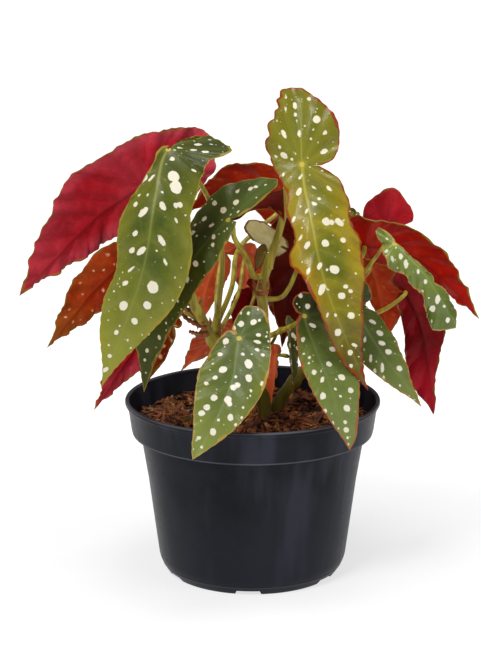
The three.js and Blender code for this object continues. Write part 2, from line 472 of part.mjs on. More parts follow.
// The canes, from below the soil up, how thick they are at the foot and the top, where their joints swell
// and hold a dried scale, and the dried flower stub of the left one
const CANES = [
  { name: 'cane_left', path: [[-9, -12, 79], [-9, -12, 104], [-15, -18, 130], [-24, -28, 159],
    [-37, -38, 190],
    [-42, -40, 203], [-48, -34, 218]], radii: [4.4, 2.8], joints: [0.25, 0.6, 0.78],
    stub: [[[-35, -37, 186], [-41, -34, 184], [-45, -30, 188]], [[-33, -36, 181], [-40, -32, 176],
      [-47, -32, 174]]] },
  { name: 'cane_back', path: [[-13, 14, 79], [-13, 14, 104], [-18, 16, 130], [-24, 14, 158], [-24, 10, 170]],
    radii: [4.2, 2.6], joints: [0.35, 0.62, 0.9] },
  { name: 'cane_centre', path: [[8, -5, 79], [8, -5, 104], [7, -4, 140], [7, -4, 176], [6, -6, 196],
    [11, -8, 212]],
    radii: [4.6, 3], joints: [0.35, 0.6, 0.84] },
  { name: 'cane_right', path: [[17, 12, 79], [17, 12, 96], [17.5, 12, 110], [32, 14, 130],
    [47, 14, 145], [57, 12, 168], [62, 12, 190]],
    radii: [4.6, 2.8], joints: [0.4, 0.62, 0.85] },
];

const canePath = (cane) => new THREE.CatmullRomCurve3(cane.path.map(vec), false, 'centripetal');

const caneSolid = (cane) => {
  const [foot, top] = cane.radii;
  const radiusAt = (u) => {
    const joint = Math.max(...cane.joints.map((j) => Math.exp(-(((u - j) / 0.025) ** 2))));
    return mix(foot, top, u) * (1 + 0.18 * joint);
  };
  const path = canePath(cane);
  let solid = solidOf(sweep(path, radiusAt, 16, CANE_SIDES));
  const twig = (points, thick) => solidOf(sweep(new THREE.CatmullRomCurve3(points),
    (u) => thick * (1 - 0.6 * u), 4, 5));
  cane.joints.forEach((joint, k) => {
    const turn = 2.4 * k + foot;
    const start = path.getPointAt(joint);
    const out = new THREE.Vector3(Math.cos(turn), Math.sin(turn), 0);
    const middle = start.clone().addScaledVector(out, 4.4).add(new THREE.Vector3(0, 0, 3));
    const end = start.clone().addScaledVector(out, 6.2).add(new THREE.Vector3(0, 0, 9));
    solid = solid.add(twig([start, middle, end], 1.7));
  });
  (cane.stub ?? []).forEach((points) => {
    solid = solid.add(twig(points.map(vec), 1.5));
  });
  return solid;
};

const stalkSolid = (leaf, cane) => {
  const frame = bladeFrame(leaf);
  const { centre, along, up } = frame.frameAt(0);
  const { at, via, radius, lean = 0.8, gap: more = 0 } = leaf.stalk;
  const gap = BLADE_THICK / 2 + STALK_GAP + more;
  const end = centre.clone().addScaledVector(up, -gap);
  const under = centre.clone().addScaledVector(up, -gap - 6).addScaledVector(along, -lean);
  const points = [canePath(cane).getPointAt(at), ...via.map(vec), under, end];
  const path = new THREE.CatmullRomCurve3(points, false, 'centripetal');
  const radiusAt = (u) => radius * mix(1.15, 0.85, u);
  return solidOf(sweep(path, radiusAt, 7, STALK_SIDES));
};

// The pot: a spun wall with its band and raised floor, notches under the foot and drain holes

const upright = (radius, height, sides) => {
  return new THREE.CylinderGeometry(radius, radius, height, sides).rotateX(Math.PI / 2);
};

const spun = (profile, sides) => {
  const points = [...profile, profile[0]].map(([r, z]) => new THREE.Vector2(r, z));
  return solidOf(new THREE.LatheGeometry(points, sides).rotateX(Math.PI / 2));
};

const potSolid = () => {
  const bandFoot = POT_HEIGHT - BAND_DEPTH;
  const lipInner = RIM_RADIUS - POT_WALL - 0.6;
  const profile = [
    [FOOT_RADIUS - POT_WALL, 0], [FOOT_RADIUS, 0], [FOOT_RADIUS + 1.4, 1.6],
      [BODY_FOOT_RADIUS - 1, POT_FOOT_RISE - 0.8],
    [BODY_FOOT_RADIUS, POT_FOOT_RISE], [BODY_TOP_RADIUS, bandFoot - 0.8],
      [BAND_FOOT_RADIUS - 1, bandFoot - 0.8],
    [BAND_FOOT_RADIUS, bandFoot], [RIM_RADIUS - 1, POT_HEIGHT - 3], [RIM_RADIUS, POT_HEIGHT - 1.6],
      [RIM_RADIUS - 0.7, POT_HEIGHT],
    [lipInner, POT_HEIGHT], [lipInner - 0.6, POT_HEIGHT - 1.2], [BAND_FOOT_RADIUS - POT_WALL, bandFoot + 1.8],
    [BODY_TOP_RADIUS - POT_WALL, bandFoot], [BODY_FOOT_RADIUS - POT_WALL, POT_FOOT_RISE],
    [BODY_FOOT_RADIUS - POT_WALL - 2, FLOOR_LOW + FLOOR_THICK], [0, FLOOR_LOW + FLOOR_THICK], [0, FLOOR_LOW],
    [FOOT_RADIUS - POT_WALL, FLOOR_LOW],
  ];
  let pot = spun(profile, POT_SIDES);
  const half = NOTCH_WIDTH / 2;
  const opening = new THREE.Shape([[-half, -1], [half, -1], [half, 0], [half - NOTCH_SLANT, NOTCH_HEIGHT],
    [NOTCH_SLANT - half, NOTCH_HEIGHT], [-half, 0]].map(([x, y]) => new THREE.Vector2(x, y)));
  for (let k = 0; k < NOTCH_COUNT; k++) {
    const notch = new THREE.ExtrudeGeometry(opening, { depth: 16, bevelEnabled: false });
    notch.rotateX(Math.PI / 2).translate(0, 10 - FOOT_RADIUS, 0).rotateZ((2 * Math.PI * k) / NOTCH_COUNT);
    pot = pot.subtract(solidOf(notch));
  }
  for (let k = 0; k < DRAIN_COUNT; k++) {
    const hole = upright(DRAIN_RADIUS, FLOOR_THICK + 4, 12);
    hole.translate(DRAIN_CIRCLE, 0, FLOOR_LOW + FLOOR_THICK / 2);
    pot = pot.subtract(solidOf(hole.rotateZ((2 * Math.PI * (k + 0.5)) / DRAIN_COUNT)));
  }
  return pot;
};

// The soil: one lumpy plug with chips on it and a plain hole for each cane

const soilHeight = (x, y) => {
  const r = Math.hypot(x, y) / 77;
  const lumps = Math.sin(x * 0.21 + 1.3) * Math.cos(y * 0.17 - 0.4)
    + 0.6 * Math.sin(x * 0.09 - y * 0.13 + 2.1);
  return SOIL_TOP + SOIL_HUMP * (1 - r * r) + 0.9 * lumps;
};

const soilSolid = () => {
  const floor = FLOOR_LOW + FLOOR_THICK + SOIL_GAP;
  const points = [];
  const faces = [];
  const bandFoot = POT_HEIGHT - BAND_DEPTH;
  const bandInner = mix(BAND_FOOT_RADIUS - POT_WALL, RIM_RADIUS - 2 * POT_WALL,
    (SOIL_TOP - bandFoot) / BAND_DEPTH);
  const edge = bandInner - SOIL_GAP;
  for (let i = 1; i <= SOIL_RINGS; i++) {
    for (let k = 0; k < SOIL_SIDES; k++) {
      const turn = (2 * Math.PI * (k + (i % 2) / 2)) / SOIL_SIDES;
      const jitter = i < SOIL_RINGS ? (draw(i * 71 + k) - 0.5) * 2.4 : 0;
      const radius = (edge * i) / SOIL_RINGS + jitter;
      const x = radius * Math.cos(turn);
      const y = radius * Math.sin(turn);
      const lump = i < SOIL_RINGS ? (draw(i * 131 + k * 3) - 0.5) * 1.6 : 0;
      points.push(new THREE.Vector3(x, y, soilHeight(x, y) + lump));
    }
  }
  const id = (i, k) => (i - 1) * SOIL_SIDES + (k % SOIL_SIDES);
  points.push(new THREE.Vector3(0, 0, soilHeight(0, 0)));
  const middle = points.length - 1;
  for (let k = 0; k < SOIL_SIDES; k++) {
    faces.push([middle, id(1, k), id(1, k + 1)]);
    for (let i = 1; i < SOIL_RINGS; i++) {
      const shift = i % 2 ? 1 : 0;
      faces.push([id(i, k), id(i + 1, k + shift), id(i, k + 1)]);
      faces.push([id(i + 1, k + shift), id(i + 1, k + shift + 1), id(i, k + 1)]);
    }
  }
  const low = [[BAND_FOOT_RADIUS - POT_WALL - SOIL_GAP - 0.4, bandFoot + 2.8],
    [BODY_TOP_RADIUS - POT_WALL - SOIL_GAP - 0.2, bandFoot + 0.8],
    [BODY_FOOT_RADIUS - POT_WALL - SOIL_GAP, POT_FOOT_RISE + 0.4],
    [BODY_FOOT_RADIUS - POT_WALL - SOIL_GAP - 2.2, floor]];
  low.forEach(([radius, z]) => {
    for (let k = 0; k < SOIL_SIDES; k++) {
      const turn = (2 * Math.PI * (k + (SOIL_RINGS % 2) / 2)) / SOIL_SIDES;
      points.push(new THREE.Vector3(radius * Math.cos(turn), radius * Math.sin(turn), z));
    }
  });
  const rim = (SOIL_RINGS - 1) * SOIL_SIDES;
  const rings = [rim, ...low.map((_, j) => middle + 1 + j * SOIL_SIDES)];
  const last = rings[low.length];
  for (let k = 0; k < SOIL_SIDES; k++) {
    const next = (k + 1) % SOIL_SIDES;
    for (let j = 0; j < low.length; j++) {
      faces.push([rings[j] + k, rings[j + 1] + k, rings[j + 1] + next],
        [rings[j] + k, rings[j + 1] + next, rings[j] + next]);
    }
    if (k > 0 && k < SOIL_SIDES - 1) {
      faces.push([last, last + next, last + k]);
    }
  }
  let soil = solidOf(geometryFrom(points, faces));
  for (let i = 0; i < CHIP_COUNT; i++) {
    const turn = 2 * Math.PI * draw(i * 7 + 1);
    const radius = 22 + 48 * draw(i * 7 + 2);
    const x = radius * Math.cos(turn);
    const y = radius * Math.sin(turn);
    const chip = new THREE.BoxGeometry(5 + 6 * draw(i * 7 + 3), 2 + 2 * draw(i * 7 + 4), 1.6);
    chip.rotateX(0.4 * draw(i * 7 + 5)).rotateY(0.4 * draw(i * 7 + 6) - 0.2);
    chip.rotateZ(2 * Math.PI * draw(i * 7 + 7));
    soil = soil.add(solidOf(chip.translate(x, y, soilHeight(x, y) + 0.4)));
  }
  CANES.forEach((cane) => {
    const [x, y, z] = cane.path[0];
    const hole = upright(cane.radii[0] + STEM_HOLE_GAP, 60, 16).translate(x, y, z - STEM_HOLE_GAP + 30);
    soil = soil.subtract(solidOf(hole));
  });
  return soil;
};

// The looks of the materials

const POT_LOOK = { color: '#1b1e26', roughness: 0.42, metalness: 0 };
const SOIL_LOOK = { color: '#3a2317', roughness: 0.95, metalness: 0 };
const STEM_LOOK = { color: '#8d8f3c', roughness: 0.4, metalness: 0 };
const LEAF_ROUGHNESS = 0.38;

// A mesh whose own origin is at the given point of the plant
const piece = (name, geometry, look, at) => {
  geometry.translate(-at[0], -at[1], -at[2]);
  const mesh = new THREE.Mesh(geometry, new THREE.MeshStandardMaterial(look));
  mesh.name = name;
  mesh.position.set(at[0], at[1], at[2]);
  return mesh;
};

const begonia = new THREE.Group();
begonia.add(piece('pot', geometryOf(potSolid()), POT_LOOK, [0, 0, 0]));
begonia.add(piece('soil', geometryOf(soilSolid()), SOIL_LOOK, [0, 0, FLOOR_LOW + FLOOR_THICK]));

CANES.forEach((cane) => {
  const shoot = new THREE.Group();
  const leaves = LEAVES.filter((leaf) => leaf.stalk.cane === cane.name);
  let solid = caneSolid(cane);
  leaves.forEach((leaf) => {
    solid = solid.add(stalkSolid(leaf, cane));
    const look = { color: leaf.colour, roughness: LEAF_ROUGHNESS, metalness: 0, side: THREE.DoubleSide };
    shoot.add(piece(leaf.name, bladeGeometry(leaf), look, leaf.rib[0]));
  });
  shoot.add(piece(cane.name, geometryOf(solid), STEM_LOOK, cane.path[0]));
  begonia.add(shoot);
});

export default begonia;
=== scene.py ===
"""A polka dot begonia in a round black nursery pot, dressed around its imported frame.

The recipes below give lengths in millimetres, and the meshes are in metres. The front of the plant
faces -Y and +Z is up. Each leaf blade follows the same rule as its solid in the frame: a rib curve,
two unlike half outlines, a fold at the rib, a curl across and a waved edge.
"""

from __future__ import annotations

import json
import logging
import math
from collections.abc import Callable, Iterator
from contextlib import contextmanager
from dataclasses import dataclass, field
from enum import Enum
from typing import Union

import bpy
import numpy as np
from mathutils import Matrix, Vector, noise


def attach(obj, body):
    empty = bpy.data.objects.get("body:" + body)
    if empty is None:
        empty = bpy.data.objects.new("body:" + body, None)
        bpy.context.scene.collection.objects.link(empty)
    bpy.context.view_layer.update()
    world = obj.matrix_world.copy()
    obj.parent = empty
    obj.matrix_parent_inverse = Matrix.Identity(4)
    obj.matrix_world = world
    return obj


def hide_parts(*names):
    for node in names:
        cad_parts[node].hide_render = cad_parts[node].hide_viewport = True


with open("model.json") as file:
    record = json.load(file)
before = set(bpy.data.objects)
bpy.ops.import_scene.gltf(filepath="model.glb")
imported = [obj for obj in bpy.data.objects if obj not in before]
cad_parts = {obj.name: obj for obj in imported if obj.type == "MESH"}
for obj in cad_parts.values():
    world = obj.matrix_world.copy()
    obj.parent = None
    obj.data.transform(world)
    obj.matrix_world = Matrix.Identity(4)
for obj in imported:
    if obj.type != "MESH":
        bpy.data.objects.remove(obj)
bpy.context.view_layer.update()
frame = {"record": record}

LOG = logging.getLogger("begonia")
MM = 0.001
BODY = "root"

Point = tuple[float, float, float]
Outline = tuple[tuple[float, float], ...]
Array = np.ndarray
Piece = bpy.types.Object
Material = bpy.types.Material
NodeTree = bpy.types.NodeTree
Node = bpy.types.Node
Output = bpy.types.NodeSocket
Given = Union[Output, float, tuple[float, ...]]


class Half(Enum):
    """The two halves of a blade, seen from its upper side with the tip ahead."""

    LEFT = 1
    RIGHT = -1


class Slot(Enum):
    """The record's material slots."""

    POT = "pot_plastic"
    SOIL = "soil_mix"
    CANE = "cane_skin"
    GREEN = "leaf_green"
    RED = "leaf_red"
    PALE = "leaf_pale"


# Small helpers


def draw(seed: float) -> float:
    """A repeatable number between 0 and 1 for each seed."""
    value = math.sin(seed * 12.9898 + 4.1414) * 43758.5453
    return value - math.floor(value)


def smooth(low: float, high: float, x: Array | float) -> Array | float:
    """A soft step of x, from 0 at low to 1 at high."""
    t = np.clip((np.asarray(x, float) - low) / (high - low), 0, 1)
    return t * t * (3 - 2 * t)


def unit(rows: Array) -> Array:
    """The rows scaled to length 1."""
    return rows / np.maximum(np.linalg.norm(rows, axis=-1, keepdims=True), 1e-12)


def linear(code: str) -> tuple[float, float, float, float]:
    """A screen colour such as #a0b0c0 as linear light.

    Args:
        code: The colour's hex code.

    Returns:
        Red, green, blue and 1.
    """
    parts = [int(code[i : i + 2], 16) / 255 for i in (1, 3, 5)]
    light = [c / 12.92 if c <= 0.04045 else ((c + 0.055) / 1.055) ** 2.4 for c in parts]
    return (light[0], light[1], light[2], 1.0)


class SmoothPath:
    """A smooth centripetal curve through points, read by share of its length."""

    def __init__(self, points: list, divisions: int = 200) -> None:
        """Measures the curve.

        Args:
            points: The points that it passes through.
            divisions: How many chords measure its length.
        """
        pts = np.array(points, float)
        self.points = np.vstack([2 * pts[0] - pts[1], pts, 2 * pts[-1] - pts[-2]])
        self.spans = len(pts) - 1
        self.steps = np.linspace(0, 1, divisions + 1)
        chords = np.linalg.norm(np.diff(self._place(self.steps), axis=0), axis=1)
        self.lengths = np.concatenate([[0], np.cumsum(chords)])
        self.length = float(self.lengths[-1])

    def _place(self, t: Array) -> Array:
        """The points at the curve's own parameter t, from 0 to 1.

        Args:
            t: The parameter at each point.

        Returns:
            The points, a row each.
        """
        p = np.clip(np.asarray(t, float), 0, 1) * self.spans
        k = np.minimum(np.floor(p).astype(int), self.spans - 1)
        w = (p - k)[:, None]
        a, b, c, d = (self.points[k + i] for i in range(4))
        pairs = ((b, a), (c, b), (d, c))
        gap = [np.maximum(np.sum((q - r) ** 2, axis=1) ** 0.25, 1e-4)[:, None] for q, r in pairs]
        leave = ((b - a) / gap[0] - (c - a) / (gap[0] + gap[1]) + (c - b) / gap[1]) * gap[1]
        reach = ((c - b) / gap[1] - (d - b) / (gap[1] + gap[2]) + (d - c) / gap[2]) * gap[1]
        square = -3 * b + 3 * c - 2 * leave - reach
        cube = 2 * b - 2 * c + leave + reach
        return b + leave * w + square * w**2 + cube * w**3

    def _step(self, share: Array | float) -> Array:
        """The curve's own parameter at a share of its length."""
        return np.interp(np.atleast_1d(share) * self.length, self.lengths, self.steps)

    def at(self, share: Array | float) -> Array:
        """The points at shares of the length."""
        return self._place(self._step(share))

    def tangent(self, share: Array | float) -> Array:
        """The unit directions at shares of the length."""
        t = self._step(share)
        return unit(self._place(t + 1e-4) - self._place(t - 1e-4))


# Recipes


@dataclass(frozen=True)
class Finish:
    """One side of a blade: its name and its colours."""

    name: str
    core: str
    margin: str
    patch: str
    rim: str
    vein: str
    spot: str
    tip: str


@dataclass(frozen=True)
class TopFinish(Finish):
    """The upper side: the colour round its stalk, partly painted shade, its gloss, and how clear its spots
    and veins are.

    Only its spots carry a painted glow, an emission that lightens them where the leaf lies in shade.
    """

    # The colour round the stalk: on some leaves darkened as painted shade where another leaf shades it.
    base: str
    roughness: float = 0.4
    gloss: float = 0.3
    rim_width: float = 0.9
    # Strength of the painted glow: emission on the spots that stands in for light.
    painted_glow: float = 0.0
    margin_reach: float = 16.0
    spot_share: float = 1.0
    softness: float = 0.22
    dots: float = 0.9
    vein_fall: float = 1.6
    vein_share: float = 0.66
    vein_depth: float = 0.9


@dataclass(frozen=True)
class UnderFinish(Finish):
    """The lower side: how much its spots show, how much painted glow stands in for light shining through it,
    its veins and its gloss.
    """

    spot_share: float = 0.15
    # Strength of the painted glow: emission of the whole side that stands in for light shining through the
    # blade.
    painted_glow: float = 0.0
    roughness: float = 0.45
    gloss: float = 0.1
    rim_width: float = 0.9
    margin_reach: float = 12.0
    softness: float = 0.5
    dots: float = 0.25
    vein_fall: float = 0.75
    vein_share: float = 0.85
    vein_depth: float = -1.2


# The colours stand in this order: core, margin, patch, rim, vein, spot, tip, and on upper sides the colour
# round the stalk, which on some leaves is darkened as painted shade.
OLIVE_GOLD = TopFinish(
    "olive_gold", "#5c6018", "#a08018", "#968820", "#8a2a10", "#bcb24a", "#ddd6bc", "#242e02", "#64661a",
    roughness=0.24, gloss=0.22, rim_width=1.5)
MID_GREEN = TopFinish(
    "mid_green", "#3e4c1c", "#727222", "#666c1e", "#94802a", "#98984a", "#dad4be", "#86882e", "#2b350f",
    roughness=0.32, gloss=0.16)
# Its spots get a painted glow that lightens them in the shade of the leaf above.
DEEP_GREEN = TopFinish(
    "deep_green", "#3e4a12", "#4e561c", "#363e0e", "#8a7426", "#5a6630", "#ccc4a6", "#3c440e", "#485424",
    roughness=0.36, gloss=0.1, painted_glow=0.16)
FRESH_GREEN = TopFinish(
    "fresh_green", "#4c5a24", "#6a7226", "#626c30", "#a8843a", "#7a884a", "#dcd6c4", "#7c863e", "#404c1a",
    roughness=0.33)
# Its stalk colour is near black: painted shade from the leaf above.
SHADED_GREEN = TopFinish(
    "shaded_green", "#525f28", "#667228", "#647032", "#9a5430", "#76844a", "#d8d2bc", "#707c44", "#0a0c04",
    roughness=0.36, gloss=0.14, rim_width=1.2)
PLAIN_GREEN = TopFinish(
    "plain_green", "#465426", "#5a6628", "#546024", "#9a6c2e", "#7a8648", "#d6d0bc", "#6c783a", "#3a4420",
    roughness=0.32, gloss=0.24)
GREY_GREEN = TopFinish(
    "grey_green", "#5e6e32", "#6c7a2c", "#6c7930", "#a88a4c", "#8e9e60", "#e0dcc8", "#4a5a18", "#7c8834",
    roughness=0.24, gloss=0.42)
FADED = TopFinish(
    "faded", "#8f8a52", "#8a6f44", "#9a8f5a", "#6b4a2c", "#b8ad78", "#d8d0ac", "#8a7040", "#8f8a52",
    roughness=0.5)
OLIVE_BROWN = TopFinish(
    "olive_brown", "#5f5a26", "#645026", "#6a6228", "#5c3c20", "#8a824a", "#d0c8a2", "#54401c", "#5f5a26",
    roughness=0.45)

CRIMSON = UnderFinish(
    "crimson", "#ae1420", "#b83e4c", "#c03444", "#8a5424", "#640810", "#c04048", "#b4303a", 0.1, 0.07)
ROSE = UnderFinish(
    "rose", "#c2141e", "#b01218", "#d43040", "#8a4a24", "#7c101a", "#c04048", "#b82030", 0.08, 0.14)
EMBER = UnderFinish(
    "ember", "#a02c06", "#842004", "#b44c16", "#7a5c1a", "#5c1404", "#e8b888", "#a05a20", 0.85, 0.16)
WINE = UnderFinish(
    "wine", "#84060c", "#8c0a14", "#5c0406", "#6e4016", "#380203", "#902030", "#c01c30", 0.08, 0.07)
ORANGE_RED = UnderFinish(
    "orange_red", "#9c1c04", "#7c0e02", "#b0340e", "#8a5418", "#5a0a02", "#c05a30", "#941404", 0.2, 0.11)
LANTERN = UnderFinish(
    "lantern_red", "#a01a04", "#841002", "#b02c0a", "#8a5a20", "#b8501e", "#c86838", "#9c1804", 0.3, 0.12)
UMBER = UnderFinish(
    "umber_red", "#6a140a", "#5a0e06", "#7c2010", "#8a5420", "#3c0602", "#8a3020", "#74180c", 0.1, 0.02)
GLOWING = UnderFinish(
    "glowing_red", "#b43012", "#9a1c0a", "#c44e26", "#8a5a20", "#d0683c", "#d08050", "#b02c14", 0.35, 0.24)
RUBY_OLIVE = UnderFinish(
    "ruby_olive", "#ac1002", "#8c0a03", "#b2280a", "#80701e", "#560502", "#a8401c", "#ac1404", 0.12, 0.13)
PALE_CREAM = UnderFinish(
    "pale_cream", "#c2b878", "#a48a4e", "#d2c98e", "#5c3018", "#ddd29a", "#d8d0aa", "#b0a062", 0.2, 0.14)
OLIVE_BROWN_UNDER = UnderFinish(
    "olive_brown_under", "#7c5a24", "#6a4420", "#8a6a30", "#5c3a1c", "#a08a4a", "#b09a66", "#6a4420", 0.2)


@dataclass(frozen=True)
class Spots:
    """The cream spots of a blade: how many there are, their radii, and those placed one by one.

    A placed spot is (along the rib, across it, radius) and sometimes how many times longer than wide it
    is, with across positive on the left half.
    """

    density: float = 0.7
    radii: tuple[float, float] = (0.9, 2.0)
    placed: tuple[tuple[float, ...], ...] = ()


@dataclass(frozen=True)
class Stalk:
    """A leaf stalk: its cane, where on it, its way and radius, and its lean and gap under the blade."""

    cane: str
    share: float
    via: tuple[Point, ...]
    radius: float
    lean: float = 0.8
    gap: float = 0.0


PLAIN_HALF: Outline = (
    (1, 0), (0.9, 0.15), (0.74, 0.47), (0.56, 0.8), (0.36, 1), (0.17, 0.95), (0.04, 0.7), (-0.06, 0.42))
EAR_HALF: Outline = (
    (1, 0), (0.9, 0.13), (0.74, 0.42), (0.56, 0.72), (0.36, 0.93), (0.16, 1), (0, 1.02), (-0.45, 0.93),
    (-0.82, 0.6), (-1, 0.06), (-0.86, -0.5), (-0.5, -0.78), (-0.16, -0.62))


@dataclass(frozen=True)
class LeafShape:
    """One leaf.

    The rib runs from the stalk to the tip, and the ear is the end of the lobe behind the stalk. The
    faces are the directions that the upper side looks to at the lobe, the stalk and the tip. Widths and
    outlines are those of the plain and the eared half, folds and curls those of the right and the left.
    A lap is the edge of the lobe with the edge of what laps down behind it.
    """

    name: str
    width: tuple[float, float]
    seed: float
    rib: tuple[Point, ...]
    ear: Point
    faces: tuple[Point, ...]
    fold: tuple[float, float]
    curl: tuple[float, float]
    wave: float
    stalk: Stalk
    under: UnderFinish
    eared_half: Half = Half.LEFT
    top: TopFinish = FRESH_GREEN
    spots: Spots = Spots()
    waves: float = 4
    tooth: float = 0.5
    puff: float = 0.5
    lap: tuple[tuple[Point, Point], ...] = ()
    plain: Outline = PLAIN_HALF
    eared: Outline = EAR_HALF


@dataclass(frozen=True)
class CaneShape:
    """One cane: its path, radii at foot and top, the shares of its joints, and dried twigs."""

    name: str
    path: tuple[Point, ...]
    radii: tuple[float, float]
    joints: tuple[float, ...]
    stub: tuple[tuple[Point, ...], ...] = ()
    husk: bool = False


